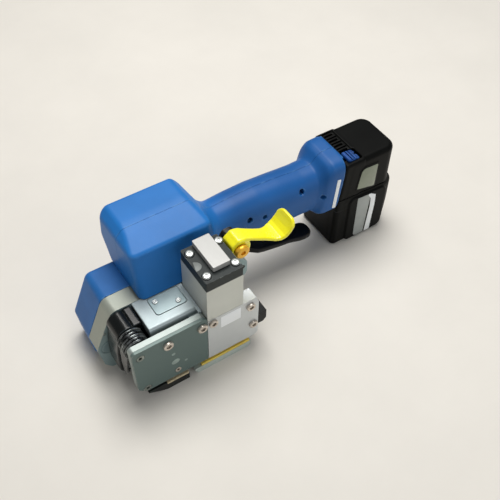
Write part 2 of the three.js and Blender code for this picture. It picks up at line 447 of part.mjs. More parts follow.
// ================================================================ rocker lever
{
  const c = [[GRIP_X, GRIP_Z + 1], [80, 54], [92, 49.5], [108, 45], [126, 41.6], [145, 39], [166, 36.4]];
  const up = [], low = [];
  for (let i = 0; i < c.length; i++) {
    const p = c[Math.max(0, i - 1)], q = c[Math.min(c.length - 1, i + 1)];
    const d = new THREE.Vector2(q[0] - p[0], q[1] - p[1]).normalize();
    const h = [4.5, 4, 3.4, 3, 2.8, 2.6, 2.2][i];
    up.push([c[i][0] - d.y * h, c[i][1] + d.x * h]);
    low.push([c[i][0] + d.y * h, c[i][1] - d.x * h]);
  }
  const strip = prismY([...up, ...low.reverse()], 36, 62, 1);
  const plan = prismZ([[60, 45.2], [88, 45.2, 8], [98, 39.5, 6], [140, 38.5, 12], [152, 36, 8], [166.5, 36, 8], [166.5, 57.5, 8], [140, 57.5], [140, 57], [60, 57]], 0, 90, 3);
  let grip = strip.intersect(plan).add(cyl('y', [GRIP_X, GRIP_Z], 7.5, 45.2, 57, 20));
  grip = grip.subtract(cyl('y', [GRIP_X, GRIP_Z], 3.4, 40, 70, 14)).subtract(box(60, 80, 40, 60, 60.2, 70));
  add('rocker_lever', grip, finish.black);
}
add('rocker_lever_pin', turned('y', [GRIP_X, GRIP_Z], [[0, 27], [3, 27], [3, 57.4], [5, 57.4], [5, 59.6], [0, 59.6]], 14), finish.steel);

// ================================================================ clamshell housing and handle
const house = (o) => loft('z', [
  { t: 82.5 - (o ? 3 : 0), a0: -1.6, b0: BODY_Y, a: 41.4 - o, b: 41.7 - o, n: 12 },
  { t: 96, a0: -1.3, b0: BODY_Y, a: 41.4 - o, b: 40.2 - o, n: 12 },
  { t: 124 - o * 0.3, a0: -0.3, b0: BODY_Y + 0.6, a: 42 - o, b: 35.9 - o, n: 10 },
  { t: 130 - o * 0.7, a0: 0, b0: BODY_Y + 1.2, a: 40.6 - o, b: 34.4 - o, n: 9 },
  { t: HOUSE_TOP - o, a0: 0.4, b0: BODY_Y + 2, a: 33.4 - o, b: 32 - o, n: 8 },
], 28);
const grip = (o) => loft('x', [
  { t: 24, a0: BODY_Y, b0: 96, a: 28 - o, b: 34 - o, n: 3 },
  { t: 36, a0: BODY_Y, b0: 92, a: 26 - o, b: 32 - o, n: 2.8 },
  { t: 45, a0: BODY_Y, b0: 89.5, a: 24 - o, b: 28.4 - o, n: 2.5 },
  { t: 57, a0: BODY_Y, b0: 88, a: 23 - o, b: 26.5 - o, n: 2.4 },
  { t: 80, a0: BODY_Y, b0: 88, a: 23.2 - o, b: 28 - o, n: 2.4 },
  { t: 105, a0: BODY_Y, b0: 88, a: 23.5 - o, b: 29 - o, n: 2.4 },
  { t: 132, a0: BODY_Y, b0: 86.5, a: 23.5 - o, b: 28.4 - o, n: 2.4 },
  { t: 158, a0: BODY_Y, b0: 85, a: 23 - o, b: 27.2 - o, n: 2.5 },
  { t: 171, a0: BODY_Y, b0: 85, a: 23.6 - o, b: 28 - o, n: 2.7 },
  { t: 177, a0: BODY_Y, b0: 86.5, a: 26.4 - o, b: 31 - o, n: 3.4 },
  { t: 183, a0: BODY_Y, b0: 88, a: 28 - o, b: 32.6 - o, n: 4.5 },
  { t: HANDLE_END + (o ? 4 : 0), a0: BODY_Y, b0: 88, a: 28 - o, b: 32.6 - o, n: 5 },
], 28);
const skirt = [[-40.6, 30, 6], [30, 30, 8], [40, 46, 8], [40, 90], [-40.6, 90]];
const skirtIn = [[-37.8, 32.8, 4], [29, 32.8, 6], [37, 46.5, 6], [37, 92], [-37.8, 92]];
// near side of the roof falls towards the strap side
function roofCut(drop) {
  const g = new THREE.BoxGeometry(140, 60, 20);
  g.translate(0, -30, 10); g.rotateX(THREE.MathUtils.degToRad(ROOF_SLOPE)); g.translate(0, BODY_Y - 1, HOUSE_TOP - 0.1 - drop);
  return toSolid(g);
}
let outer = house(0).subtract(roofCut(0)).add(grip(0)).add(prismY(skirt, FRAME_Y1 + 0.4, 102, 3));
let inner = house(WALL).subtract(roofCut(WALL)).add(grip(WALL)).add(prismY(skirtIn, FRAME_Y1 - 1, 102 - WALL, 3));
let shell = outer.subtract(inner);
// room for the main frame, belt window, trigger slot, motor shaft
shell = shell.subtract(prismY([[-60, 10], [-60, 82.45], [-43.4, 82.45], [-39, 80.4], [60.5, 80.4], [76.6, 62.4], [76.6, 45], [60, 10]], 10, FRAME_Y1 + 0.4, 1));
shell = shell.subtract(box(-46, -36, 40, 62, 34, 81.8));
shell = shell.subtract(box(74, 96, 57.3, 71.2, 50, 68));
shell = shell.subtract(cyl('y', [MOTOR_X, MOTOR_Z], 5, 15, 40, 16));
const half = (y0, y1) => shell.intersect(box(-60, 210, y0, y1, 20, 150));
let housing_near = half(0, BODY_Y - 0.15), housing_far = half(BODY_Y + 0.15, 120);
const HANDLE_SCREWS = [[89, 98, 43, 85], [152, 101, 45, 83]];
for (const [x, z, ya, yb] of HANDLE_SCREWS) {
  housing_near = housing_near.add(cyl('y', [x, z], 4.8, ya, BODY_Y - 0.15, 16)).subtract(cyl('y', [x, z], 3.1, 20, 56, 14)).subtract(cyl('y', [x, z], 1.7, 50, 70, 10));
  housing_far = housing_far.add(cyl('y', [x, z], 4, BODY_Y + 0.15, yb, 14)).subtract(cyl('y', [x, z], 1.5, 60, 72, 10));
}
add('housing_near', housing_near, finish.blue);
add('housing_far', housing_far, finish.blue);
HANDLE_SCREWS.forEach(([x, z], i) => add(`housing_screw_${i + 1}`, turned('y', [x, z], [[0, 54.6], [1, 54.6], [1, 53.4], [2.7, 53.4], [2.7, 55.7], [1.2, 55.7], [1.2, 71], [0, 71]], 12), finish.screw));

// ================================================================ handle internals
{
  let button = prismX([[58, 54.5, 2], [70, 54.5, 2], [70, 66], [58, 66]], 75, 95, 2);
  add('tension_button', button, finish.black);
}
add('switch_body', box(72, 98, 58, 71, 70, 92), finish.black);
add('control_board', box(112, 145, 63.2, 64.8, 70, 92), finish.board);

// ================================================================ battery
const battOut = [[BATT_X0, 0, 3], [263, 0, 9], [BATT_X1, 10, 6], [BATT_X1, 60, 5], [268, 72, 5], [268, BATT_TOP, 8], [BATT_X0, BATT_TOP, 2]];
const rr = (x0, x1, r) => [[x0, BATT_Y0, 4], [x1, BATT_Y0, r], [x1, BATT_Y1, r], [x0, BATT_Y1, 4]];
let battery_case = prismY(battOut, BATT_Y0, BATT_Y1, 3).intersect(prismZ(rr(BATT_X0, BATT_X1, 10), -5, 125, 3))
  .intersect(prismX([[BATT_Y0, 0, 7], [BATT_Y1, 0, 7], [BATT_Y1, BATT_TOP, 9], [BATT_Y0, BATT_TOP, 9]], 190, 280, 3));
battery_case = battery_case.add(prismX([[47, 63, 5], [81, 63, 5], [81, 113, 5], [47, 113, 5]], 184, 201, 3));
battery_case = battery_case.subtract(prismY([[203, 3], [262, 3], [267, 12], [267, 58], [264, 70], [264, 111], [203, 111]], 39, 89.5, 1));
battery_case = battery_case.subtract(prismX([[50, 66, 3], [78, 66, 3], [78, 110, 3], [50, 110, 3]], 182, 206, 2));
// raised pads that carry the labels
for (const y of [33.8, 91.5]) battery_case = battery_case.add(prismY([[211, 1.5, 6], [262, 1.5, 8], [262, 63, 6], [211, 66, 6]], y, y + 3.2, 3));
// pocket of the latch
battery_case = battery_case.subtract(box(204.6, 222.4, 41, 63, 112.5, 120)).add(box(204.7, 222.3, 41.1, 62.9, 110, 112.6)).subtract(box(190, 203.01, 50, 78, 66, 110));
add('battery_case', battery_case, finish.black);
add('cell_pack', prismY([[206.3, 4], [261, 4], [263, 20], [263, 108], [206.3, 108]], 41, 87, 3), finish.wrap);
add('contact_block', box(166, 183.3, 51, 77, 68, 82), finish.black);
add('battery_latch', prismZ([[205, 41.5, 2], [222, 41.5, 2], [222, 62.5, 2], [205, 62.5, 2]], 114.3, 119, 2), finish.blue);

export default strapping_tool;
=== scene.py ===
import bpy, math
import numpy as np
from mathutils import Vector, Matrix


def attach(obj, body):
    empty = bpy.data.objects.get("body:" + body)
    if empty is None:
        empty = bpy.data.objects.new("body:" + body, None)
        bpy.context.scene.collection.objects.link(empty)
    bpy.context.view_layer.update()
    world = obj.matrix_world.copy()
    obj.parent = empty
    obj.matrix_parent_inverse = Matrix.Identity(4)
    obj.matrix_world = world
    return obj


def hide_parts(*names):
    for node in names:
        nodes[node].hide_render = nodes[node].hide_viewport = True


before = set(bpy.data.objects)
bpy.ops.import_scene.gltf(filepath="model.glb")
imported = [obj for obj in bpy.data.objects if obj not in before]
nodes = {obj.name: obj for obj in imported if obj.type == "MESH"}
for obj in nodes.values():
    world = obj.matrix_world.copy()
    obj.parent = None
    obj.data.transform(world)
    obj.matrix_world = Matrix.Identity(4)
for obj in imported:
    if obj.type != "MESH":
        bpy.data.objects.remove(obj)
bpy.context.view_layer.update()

MM = 0.001
scene = bpy.context.scene

# ------------------------------------------------------------------ materials
def new_mat(name):
    m = bpy.data.materials.new(name)
    m.use_nodes = True
    nt = m.node_tree
    b = nt.nodes["Principled BSDF"]
    return m, nt, b


def surf(name, color, rough=0.45, metal=0.0, var=0.10, var_scale=30.0, grain=0.25, grain_scale=900.0,
         grain_depth=0.00008, rough_var=0.10, wear=0.0, wear_color=(0.75, 0.75, 0.74), coat=0.0,
         stretch=None, spec=0.5, crease_shade=0.0, face=None, edge=0.0, shade_zones=None):
    """Procedural finish: cloudy colour, fine grain in bump and roughness, worn edges, painted shade in creases, and
    painted light by facing and by position.
    """
    m, nt, b = new_mat(name)
    N, L = nt.nodes, nt.links
    tc = N.new("ShaderNodeTexCoord")
    src = tc.outputs["Object"]
    n1 = N.new("ShaderNodeTexNoise"); n1.inputs["Scale"].default_value = var_scale
    n1.inputs["Detail"].default_value = 5.0; n1.inputs["Roughness"].default_value = 0.6
    L.new(src, n1.inputs["Vector"])
    ramp = N.new("ShaderNodeValToRGB")
    e = ramp.color_ramp.elements
    e[0].position, e[1].position = 0.3, 0.7
    e[0].color = (*[max(0, c * (1 - var)) for c in color], 1)
    e[1].color = (*[min(1, c * (1 + var)) for c in color], 1)
    L.new(n1.outputs["Fac"], ramp.inputs["Fac"])
    col = ramp.outputs["Color"]
    if face:      # painted light: another tone on the faces that look to -Y, for how light falls on them: a painted bluish reflection on the main frame's near face, taken to be machined, and painted shade on the side plate's near face
        sep = N.new("ShaderNodeSeparateXYZ"); L.new(tc.outputs["Normal"], sep.inputs[0])
        fr = N.new("ShaderNodeMapRange")
        fr.inputs["From Min"].default_value, fr.inputs["From Max"].default_value = -0.85, -0.97
        fr.inputs["To Min"].default_value, fr.inputs["To Max"].default_value = 0.0, 1.0
        L.new(sep.outputs["Y"], fr.inputs["Value"])
        fm = N.new("ShaderNodeMix"); fm.data_type = "RGBA"
        L.new(fr.outputs["Result"], fm.inputs["Factor"]); L.new(col, fm.inputs["A"])
        fm.inputs["B"].default_value = (*face, 1)
        col = fm.outputs["Result"]
    for axis, z0, z1, tone in (shade_zones or []):      # painted shade: a darker tone from one position on along an axis, for parts that lie in less light
        sep2 = N.new("ShaderNodeSeparateXYZ"); L.new(src, sep2.inputs[0])
        zr = N.new("ShaderNodeMapRange")
        zr.inputs["From Min"].default_value, zr.inputs["From Max"].default_value = z0 * MM, z1 * MM
        L.new(sep2.outputs[axis], zr.inputs["Value"])
        zm = N.new("ShaderNodeMix"); zm.data_type = "RGBA"
        L.new(zr.outputs["Result"], zm.inputs["Factor"]); L.new(col, zm.inputs["A"])
        zc = N.new("ShaderNodeMix"); zc.data_type = "RGBA"; zc.blend_type = "MULTIPLY"
        zc.inputs["Factor"].default_value = 1.0; zc.inputs["B"].default_value = (*tone, 1)
        L.new(col, zc.inputs["A"]); L.new(zc.outputs["Result"], zm.inputs["B"])
        col = zm.outputs["Result"]
    map_src = src
    if stretch:
        mp = N.new("ShaderNodeMapping"); mp.inputs["Scale"].default_value = stretch
        L.new(src, mp.inputs["Vector"]); map_src = mp.outputs["Vector"]
    n2 = N.new("ShaderNodeTexNoise"); n2.inputs["Scale"].default_value = grain_scale
    n2.inputs["Detail"].default_value = 3.0
    L.new(map_src, n2.inputs["Vector"])
    if wear > 0 or crease_shade > 0:
        geo = N.new("ShaderNodeNewGeometry")
    if edge > 0:      # corners: where a normal rounded over this width leaves the face's own
        crease_shade = 0
        bv = N.new("ShaderNodeBevel"); bv.samples = 6; bv.inputs["Radius"].default_value = edge * MM
        dp = N.new("ShaderNodeVectorMath"); dp.operation = "DOT_PRODUCT"
        L.new(bv.outputs["Normal"], dp.inputs[0]); L.new(geo.outputs["Normal"], dp.inputs[1])
        wr = N.new("ShaderNodeMapRange")
        wr.inputs["From Min"].default_value, wr.inputs["From Max"].default_value = 0.985, 0.90
        L.new(dp.outputs["Value"], wr.inputs["Value"])
    elif wear > 0:
        wr = N.new("ShaderNodeValToRGB")
        wr.color_ramp.elements[0].position = 0.515
        wr.color_ramp.elements[1].position = 0.56
        L.new(geo.outputs["Pointiness"], wr.inputs["Fac"])
    if wear > 0:
        n3 = N.new("ShaderNodeTexNoise"); n3.inputs["Scale"].default_value = 160.0
        n3.inputs["Detail"].default_value = 6.0
        L.new(src, n3.inputs["Vector"])
        nr = N.new("ShaderNodeValToRGB")
        nr.color_ramp.elements[0].position, nr.color_ramp.elements[1].position = 0.42, 0.62
        L.new(n3.outputs["Fac"], nr.inputs["Fac"])
        mul = N.new("ShaderNodeMath"); mul.operation = "MULTIPLY"
        L.new(wr.outputs[0], mul.inputs[0]); L.new(nr.outputs["Color"], mul.inputs[1])
        mul2 = N.new("ShaderNodeMath"); mul2.operation = "MULTIPLY"; mul2.inputs[1].default_value = wear
        L.new(mul.outputs[0], mul2.inputs[0])
        mix = N.new("ShaderNodeMix"); mix.data_type = "RGBA"
        L.new(mul2.outputs[0], mix.inputs["Factor"])
        L.new(col, mix.inputs["A"]); mix.inputs["B"].default_value = (*wear_color, 1)
        col = mix.outputs["Result"]
    # painted shade: concave creases and recesses (low pointiness) are darkened toward a quarter of the base colour,
    # standing in for the shade that falls in them
    if crease_shade > 0:
        dr = N.new("ShaderNodeValToRGB")
        dr.color_ramp.elements[0].position = 0.40
        dr.color_ramp.elements[1].position = 0.495
        dr.color_ramp.elements[0].color = (1, 1, 1, 1)
        dr.color_ramp.elements[1].color = (0, 0, 0, 1)
        L.new(geo.outputs["Pointiness"], dr.inputs["Fac"])
        dm = N.new("ShaderNodeMath"); dm.operation = "MULTIPLY"; dm.inputs[1].default_value = crease_shade
        L.new(dr.outputs["Color"], dm.inputs[0])
        mix2 = N.new("ShaderNodeMix"); mix2.data_type = "RGBA"
        L.new(dm.outputs[0], mix2.inputs["Factor"])
        L.new(col, mix2.inputs["A"]); mix2.inputs["B"].default_value = (*[c * 0.25 for c in color], 1)
        col = mix2.outputs["Result"]
    L.new(col, b.inputs["Base Color"])
    mr = N.new("ShaderNodeMapRange")
    mr.inputs["To Min"].default_value = max(0.03, rough - rough_var)
    mr.inputs["To Max"].default_value = min(1.0, rough + rough_var)
    L.new(n2.outputs["Fac"], mr.inputs["Value"])
    L.new(mr.outputs["Result"], b.inputs["Roughness"])
    bump = N.new("ShaderNodeBump"); bump.inputs["Strength"].default_value = grain
    bump.inputs["Distance"].default_value = grain_depth
    L.new(n2.outputs["Fac"], bump.inputs["Height"])
    L.new(bump.outputs["Normal"], b.inputs["Normal"])
    b.inputs["Metallic"].default_value = metal
    b.inputs["Coat Weight"].default_value = coat
    b.inputs["Specular IOR Level"].default_value = spec
    return m


def lin(r, g, b):
    f = lambda v: (v / 255 / 12.92) if v / 255 <= 0.04045 else ((v / 255 + 0.055) / 1.055) ** 2.4
    return (f(r), f(g), f(b))


M = {
    # blue housing: painted shade, the handle is darkened from x 40 mm, fully from x 80 mm, where it gets less light
    "blue": surf("blue_plastic", lin(32, 113, 188), shade_zones=[("X", 40, 80, (0.62, 0.60, 0.66))], rough=0.46, var=0.10, var_scale=16, grain=0.3, grain_scale=1400, grain_depth=0.00004, wear=0.3, wear_color=lin(110, 165, 215), crease_shade=0.5, spec=0.30),
    "blue_cover": surf("blue_cover_plastic", lin(38, 104, 172), rough=0.46, var=0.12, var_scale=22, grain=0.3, grain_scale=1300, grain_depth=0.00004, wear=0.35, wear_color=lin(115, 165, 205), crease_shade=0.4, spec=0.30),
    "blue_latch": surf("blue_latch_plastic", lin(28, 72, 138), rough=0.5, var=0.45, var_scale=260, grain=0.35, grain_scale=1100, grain_depth=0.00006, wear=0.3, wear_color=lin(90, 135, 190), crease_shade=0.7, spec=0.25),
    "yellow": surf("yellow_coating", lin(255, 244, 30), rough=0.30, var=0.05, var_scale=30, grain=0.1, grain_scale=500, coat=0.35, wear=0.15, wear_color=lin(235, 200, 60), crease_shade=0.35),
    "black_case": surf("black_case_plastic", lin(9, 10, 9), rough=0.46, var=0.3, var_scale=24, grain=0.35, grain_scale=1500, grain_depth=0.00004, wear=0.3, wear_color=lin(50, 50, 48), spec=0.08),
    "black_lever": surf("black_lever_plastic", lin(12, 12, 13), rough=0.38, var=0.2, grain=0.3, grain_scale=1200, grain_depth=0.00004, wear=0.3, wear_color=lin(60, 60, 60), spec=0.2),
    "black_cast": surf("black_cast_paint", lin(17, 20, 20), rough=0.24, var=0.3, var_scale=40, grain=0.18, grain_scale=900, grain_depth=0.00004, coat=0.14, wear=0.3, wear_color=lin(80, 92, 98), spec=0.22),
    "black_block": surf("black_block_paint", lin(20, 21, 21), rough=0.45, var=0.2, var_scale=70, grain=0.25, grain_scale=900, grain_depth=0.00004, wear=0.4, wear_color=lin(90, 92, 90), spec=0.2, edge=0.5),
    "cap": surf("black_anodised", lin(38, 44, 44), rough=0.46, metal=0.1, var=0.12, var_scale=45, grain=0.25, grain_scale=1200, grain_depth=0.00004, wear=0.85, wear_color=lin(128, 134, 132), spec=0.25, edge=0.55),
    "cap_inlay": surf("grey_inlay", lin(112, 117, 115), rough=0.5, metal=0.1, var=0.2, var_scale=160, grain=0.2, grain_scale=1000, grain_depth=0.00004),
    # side plate: the face tone is painted shade, darkening its near face
    "side": surf("green_grey_coating", lin(108, 124, 120), rough=0.42, metal=0.25, var=0.09, var_scale=60, grain=0.2, grain_scale=1100, grain_depth=0.00004, wear=0.7, wear_color=lin(158, 170, 166), face=lin(97, 115, 112), spec=0.3, edge=0.7),
    "side_frame": surf("side_frame_alloy", lin(158, 168, 164), rough=0.42, metal=0.4, var=0.08, var_scale=60, grain=0.3, grain_scale=900, grain_depth=0.00005, stretch=(1, 9, 1), wear=0.5, wear_color=lin(200, 206, 202), edge=0.5),
    "mark": surf("worn_mark", lin(150, 166, 160), rough=0.5, metal=0.2, var=0.2, var_scale=200, grain=0.3, grain_scale=800, grain_depth=0.00004),
    "alloy": surf("blasted_alloy", lin(204, 206, 198), rough=0.42, metal=0.4, var=0.04, var_scale=35, grain=0.3, grain_scale=1500, grain_depth=0.00005, wear=0.6, wear_color=lin(235, 235, 230), edge=0.45),
    # weld block: painted shade, the alloy above z 119 mm and beyond x 41 mm is darkened nearly to black where the lug
    # lies in shade
    "alloy_lug": surf("blasted_alloy_lug_painted_shade", lin(204, 206, 198), rough=0.42, metal=0.25, var=0.04, var_scale=35, grain=0.3, grain_scale=1500, grain_depth=0.00005, wear=0.4, wear_color=lin(215, 215, 210), edge=0.45, shade_zones=[("Z", 118.5, 119.4, (0.07, 0.075, 0.08)), ("X", 40.6, 41.2, (0.09, 0.09, 0.09))]),
    "alloy_bright": surf("milled_alloy", lin(204, 208, 209), rough=0.36, metal=0.45, var=0.04, var_scale=30, grain=0.25, grain_scale=500, grain_depth=0.00005, stretch=(1, 9, 1), wear=0.5, wear_color=lin(244, 247, 247), edge=0.4),
    "cast": surf("cast_alloy", lin(154, 166, 168), rough=0.42, metal=0.4, var=0.07, var_scale=40, grain=0.35, grain_scale=900, grain_depth=0.00008, wear=0.6, wear_color=lin(205, 214, 214), edge=0.8),
    "cover_plate": surf("cover_sheet", lin(138, 154, 156), rough=0.38, metal=0.45, var=0.06, var_scale=60, grain=0.25, grain_scale=700, grain_depth=0.00005, stretch=(1, 8, 1), wear=0.6, wear_color=lin(195, 204, 204), edge=0.35),
    # main frame: the face tone is a painted reflection, bluish on the near face that is taken to be machined
    "beige": surf("beige_anodised", lin(158, 163, 152), rough=0.42, metal=0.3, var=0.06, var_scale=26, grain=0.3, grain_scale=1100, grain_depth=0.00005, wear=0.6, wear_color=lin(200, 202, 190), face=lin(150, 172, 174), edge=0.8),
    "boss": surf("machined_boss", lin(128, 150, 154), rough=0.4, metal=0.3, var=0.15, var_scale=90, grain=0.3, grain_scale=900, grain_depth=0.00005, wear=0.4, wear_color=lin(190, 204, 204), edge=0.25),
    "brass": surf("brass", lin(250, 214, 96), rough=0.36, metal=0.2, var=0.14, var_scale=90, grain=0.3, grain_scale=600, grain_depth=0.00005, stretch=(9, 1, 1), wear=0.4, wear_color=lin(244, 222, 150), edge=0.3),
    "hub": surf("hub_brass", lin(240, 182, 50), rough=0.32, metal=0.45, var=0.14, var_scale=120, grain=0.25, grain_scale=700, grain_depth=0.00005, wear=0.3, wear_color=lin(246, 214, 120)),
    "steel": surf("ground_steel", lin(176, 178, 178), rough=0.30, metal=0.85, var=0.08, grain=0.3, grain_scale=600, grain_depth=0.00005, stretch=(1, 12, 1), wear=0.4, wear_color=lin(220, 222, 222), edge=0.3),
    "screw": surf("screw_steel", lin(206, 196, 184), rough=0.30, metal=0.75, var=0.2, var_scale=260, grain=0.2, grain_scale=900, grain_depth=0.00004, wear=0.4, wear_color=lin(236, 230, 220), crease_shade=0.8),
    "screw_white": surf("screw_bright", lin(186, 190, 188), rough=0.30, metal=0.75, var=0.2, var_scale=260, grain=0.2, grain_scale=900, grain_depth=0.00004, wear=0.4, wear_color=lin(230, 232, 230), crease_shade=0.45),
    "screw_dark": surf("dark_screw_steel", lin(122, 130, 124), rough=0.34, metal=0.7, var=0.25, var_scale=240, grain=0.25, grain_scale=900, grain_depth=0.00004, wear=0.5, wear_color=lin(205, 208, 200), crease_shade=0.7),
    "spring": surf("spring_wire", lin(36, 40, 40), rough=0.18, metal=0.75, var=0.2, var_scale=120, grain=0.15, grain_scale=700, grain_depth=0.00003, wear=0.8, wear_color=lin(180, 186, 186)),
    "gripper": surf("gripper_steel", lin(212, 198, 164), rough=0.42, metal=0.4, var=0.2, var_scale=200, grain=0.4, grain_scale=800, grain_depth=0.00006, wear=0.5, wear_color=lin(228, 220, 196), edge=0.3),
    "foot": surf("foot_coating", lin(30, 34, 32), rough=0.36, metal=0.2, var=0.2, var_scale=60, grain=0.25, grain_scale=900, grain_depth=0.00005, wear=0.7, wear_color=lin(84, 90, 86), spec=0.3, edge=0.6),
    "base": surf("base_steel", lin(196, 208, 202), rough=0.38, metal=0.35, var=0.08, var_scale=50, grain=0.3, grain_scale=700, grain_depth=0.00005, stretch=(8, 1, 1), wear=0.5, wear_color=lin(225, 230, 226), edge=0.5),
    "rubber": surf("belt_rubber", lin(24, 24, 24), rough=0.75, var=0.2, grain=0.6, grain_scale=900, wear=0.3, wear_color=lin(60, 60, 60), edge=0.3),
    "board": surf("circuit_board", lin(26, 86, 50), rough=0.5, var=0.15, var_scale=90, grain=0.3, grain_scale=700, wear=0.3, wear_color=lin(120, 150, 110), edge=0.2),
    "wrap": surf("cell_wrap", lin(40, 105, 125), rough=0.4, var=0.12, var_scale=60, grain=0.2, grain_scale=500, wear=0.2, wear_color=lin(120, 160, 170), edge=0.6),
    "silver": surf("silver_plate", lin(180, 180, 177), rough=0.34, metal=0.15, var=0.04, var_scale=60, grain=0.15, grain_scale=900, grain_depth=0.00004, wear=0.6, wear_color=lin(226, 226, 222), edge=0.5),
    "white": surf("white_label", lin(246, 250, 252), rough=0.4, var=0.02, var_scale=80, grain=0.1, grain_scale=900, grain_depth=0.00003, wear=0.2, wear_color=lin(215, 218, 220), edge=0.2),
    "label_silver": surf("grey_label", lin(160, 165, 163), rough=0.42, metal=0.1, var=0.08, var_scale=80, grain=0.15, grain_scale=1200, grain_depth=0.00003, wear=0.3, wear_color=lin(195, 200, 198), edge=0.2),
    "window": surf("grey_green_panel", lin(128, 136, 116), rough=0.22, var=0.12, var_scale=50, grain=0.1, grain_scale=900, grain_depth=0.00003, coat=0.3, wear=0.6, wear_color=lin(176, 184, 160), edge=0.5),
    "motor": surf("motor_can", lin(150, 152, 150), rough=0.35, metal=0.8, var=0.08, grain=0.3, grain_scale=600, stretch=(1, 12, 1), wear=0.4, wear_color=lin(200, 202, 200), edge=0.5),
}

# ------------------------------------------------------------------ mesh tools
def to_object(name, verts, faces, mat, smooth=True):
    """verts in mm."""
    me = bpy.data.meshes.new(name)
    me.from_pydata((np.asarray(verts, float) * MM).tolist(), [], [list(f) for f in faces])
    me.validate()
    me.update()
    ob = bpy.data.objects.new(name, me)
    scene.collection.objects.link(ob)
    me.materials.append(mat)
    if smooth:
        me.polygons.foreach_set("use_smooth", [True] * len(me.polygons))
    return ob


def iso(f, lo, hi, h, newton=3):
    """Surface-net mesh of f = 0 (f in mm, negative inside), refined onto the surface."""
    lo = np.array(lo, float); hi = np.array(hi, float)
    n = np.ceil((hi - lo) / h).astype(int) + 1
    ax = [lo[i] + h * np.arange(n[i]) for i in range(3)]
    X, Y, Z = np.meshgrid(*ax, indexing="ij")
    V = f(X, Y, Z)
    ins = V < 0
    c = [(0, 0, 0), (1, 0, 0), (0, 1, 0), (1, 1, 0), (0, 0, 1), (1, 0, 1), (0, 1, 1), (1, 1, 1)]
    sl = lambda A, o: A[o[0]:A.shape[0] - 1 + o[0], o[1]:A.shape[1] - 1 + o[1], o[2]:A.shape[2] - 1 + o[2]]
    cnt = sum(sl(ins, o).astype(int) for o in c)
    act = (cnt > 0) & (cnt < 8)
    idx = -np.ones(act.shape, int)
    idx[act] = np.arange(act.sum())
    cells = np.argwhere(act)
    acc = np.zeros((len(cells), 3)); k = np.zeros(len(cells))
    for a in range(8):
        for b in range(a + 1, 8):
            d = np.array(c[b]) - np.array(c[a])
            if np.abs(d).sum() != 1:
                continue
            ia = cells + c[a]; ib = cells + c[b]
            va = V[ia[:, 0], ia[:, 1], ia[:, 2]]; vb = V[ib[:, 0], ib[:, 1], ib[:, 2]]
            cr = (va < 0) != (vb < 0)
            t = np.where(cr, va / np.where(va - vb == 0, 1, va - vb), 0)
            p = np.array(c[a]) + t[:, None] * d
            acc[cr] += p[cr]; k[cr] += 1
    P = lo + h * (cells + acc / k[:, None])
    quads = []
    for axis in range(3):
        o1, o2 = [(1, 2), (2, 0), (0, 1)][axis]
        s0 = [slice(None)] * 3; s1 = [slice(None)] * 3
        s0[axis] = slice(0, -1); s1[axis] = slice(1, None)
        A = ins[tuple(s0)]; B = ins[tuple(s1)]
        e = np.argwhere(A != B)
        m = (e[:, o1] > 0) & (e[:, o2] > 0) & (e[:, o1] < n[o1] - 1) & (e[:, o2] < n[o2] - 1)
        e = e[m]
        flip = ~A[e[:, 0], e[:, 1], e[:, 2]]
        def cell(d1, d2):
            q = e.copy(); q[:, o1] += d1; q[:, o2] += d2
            return idx[q[:, 0], q[:, 1], q[:, 2]]
        q = np.stack([cell(-1, -1), cell(0, -1), cell(0, 0), cell(-1, 0)], 1)
        q[flip] = q[flip][:, ::-1]
        quads.append(q)
    Q = np.concatenate(quads)
    Q = Q[(Q >= 0).all(1)]
    eps = 0.03
    for _ in range(newton):
        v = f(P[:, 0], P[:, 1], P[:, 2])
        g = np.stack([(f(P[:, 0] + (eps if i == 0 else 0), P[:, 1] + (eps if i == 1 else 0), P[:, 2] + (eps if i == 2 else 0))
                       - f(P[:, 0] - (eps if i == 0 else 0), P[:, 1] - (eps if i == 1 else 0), P[:, 2] - (eps if i == 2 else 0))) / (2 * eps) for i in range(3)], 1)
        g2 = np.maximum((g * g).sum(1), 0.05)
        step = (v / g2)[:, None] * g
        ln = np.linalg.norm(step, axis=1, keepdims=True)
        step *= np.minimum(1, 0.4 * h / np.maximum(ln, 1e-9))
        P = P - step
    return P, Q


def rnd(qs, r):
    """Rounded intersection of half-spaces (values are signed distances)."""
    m = qs[0] + r
    s = np.maximum(m, 0) ** 2
    for q in qs[1:]:
        q = q + r
        m = np.maximum(m, q)
        s = s + np.maximum(q, 0) ** 2
    return np.minimum(m, 0) + np.sqrt(s) - r


def smin(a, b, k):
    h = np.clip(0.5 + 0.5 * (b - a) / k, 0, 1)
    return b * (1 - h) + a * h - k * h * (1 - h)


def smax(a, b, k):
    return -smin(-a, -b, k)


def poly2(U, W, pts):
    """Signed distance to a closed polygon in the plane."""
    pts = np.array(pts, float)
    d = np.full(U.shape, 1e18); s = np.ones(U.shape)
    n = len(pts)
    for i in range(n):
        a = pts[i]; b = pts[i - 1]
        ex, ey = b - a
        wx = U - a[0]; wy = W - a[1]
        t = np.clip((wx * ex + wy * ey) / (ex * ex + ey * ey), 0, 1)
        bx = wx - ex * t; by = wy - ey * t
        d = np.minimum(d, bx * bx + by * by)
        c1 = W >= a[1]; c2 = W < b[1]; c3 = ex * wy > ey * wx
        s = np.where((c1 & c2 & c3) | (~c1 & ~c2 & ~c3), -s, s)
    return s * np.sqrt(d)


def line_dist(px, pz, n):
    """(x, z) point and outward normal, as a function of X, Z."""
    L = math.hypot(*n)
    return lambda X, Z: ((X - px) * n[0] + (Z - pz) * n[1]) / L


def smooth_table(rows, s=3.0):
    rows = np.array(rows, float)
    x = np.arange(rows[0, 0] - 10, rows[-1, 0] + 10.01, 0.5)
    w = np.exp(-0.5 * (np.arange(-12, 12.01, 0.5) / s) ** 2); w /= w.sum()
    out = []
    for k in range(1, rows.shape[1]):
        y = np.interp(x, rows[:, 0], rows[:, k])
        yp = np.pad(y, len(w) // 2, mode="edge")
        out.append(np.convolve(yp, w, mode="valid"))
    return lambda X: [np.interp(X, x, y) for y in out]


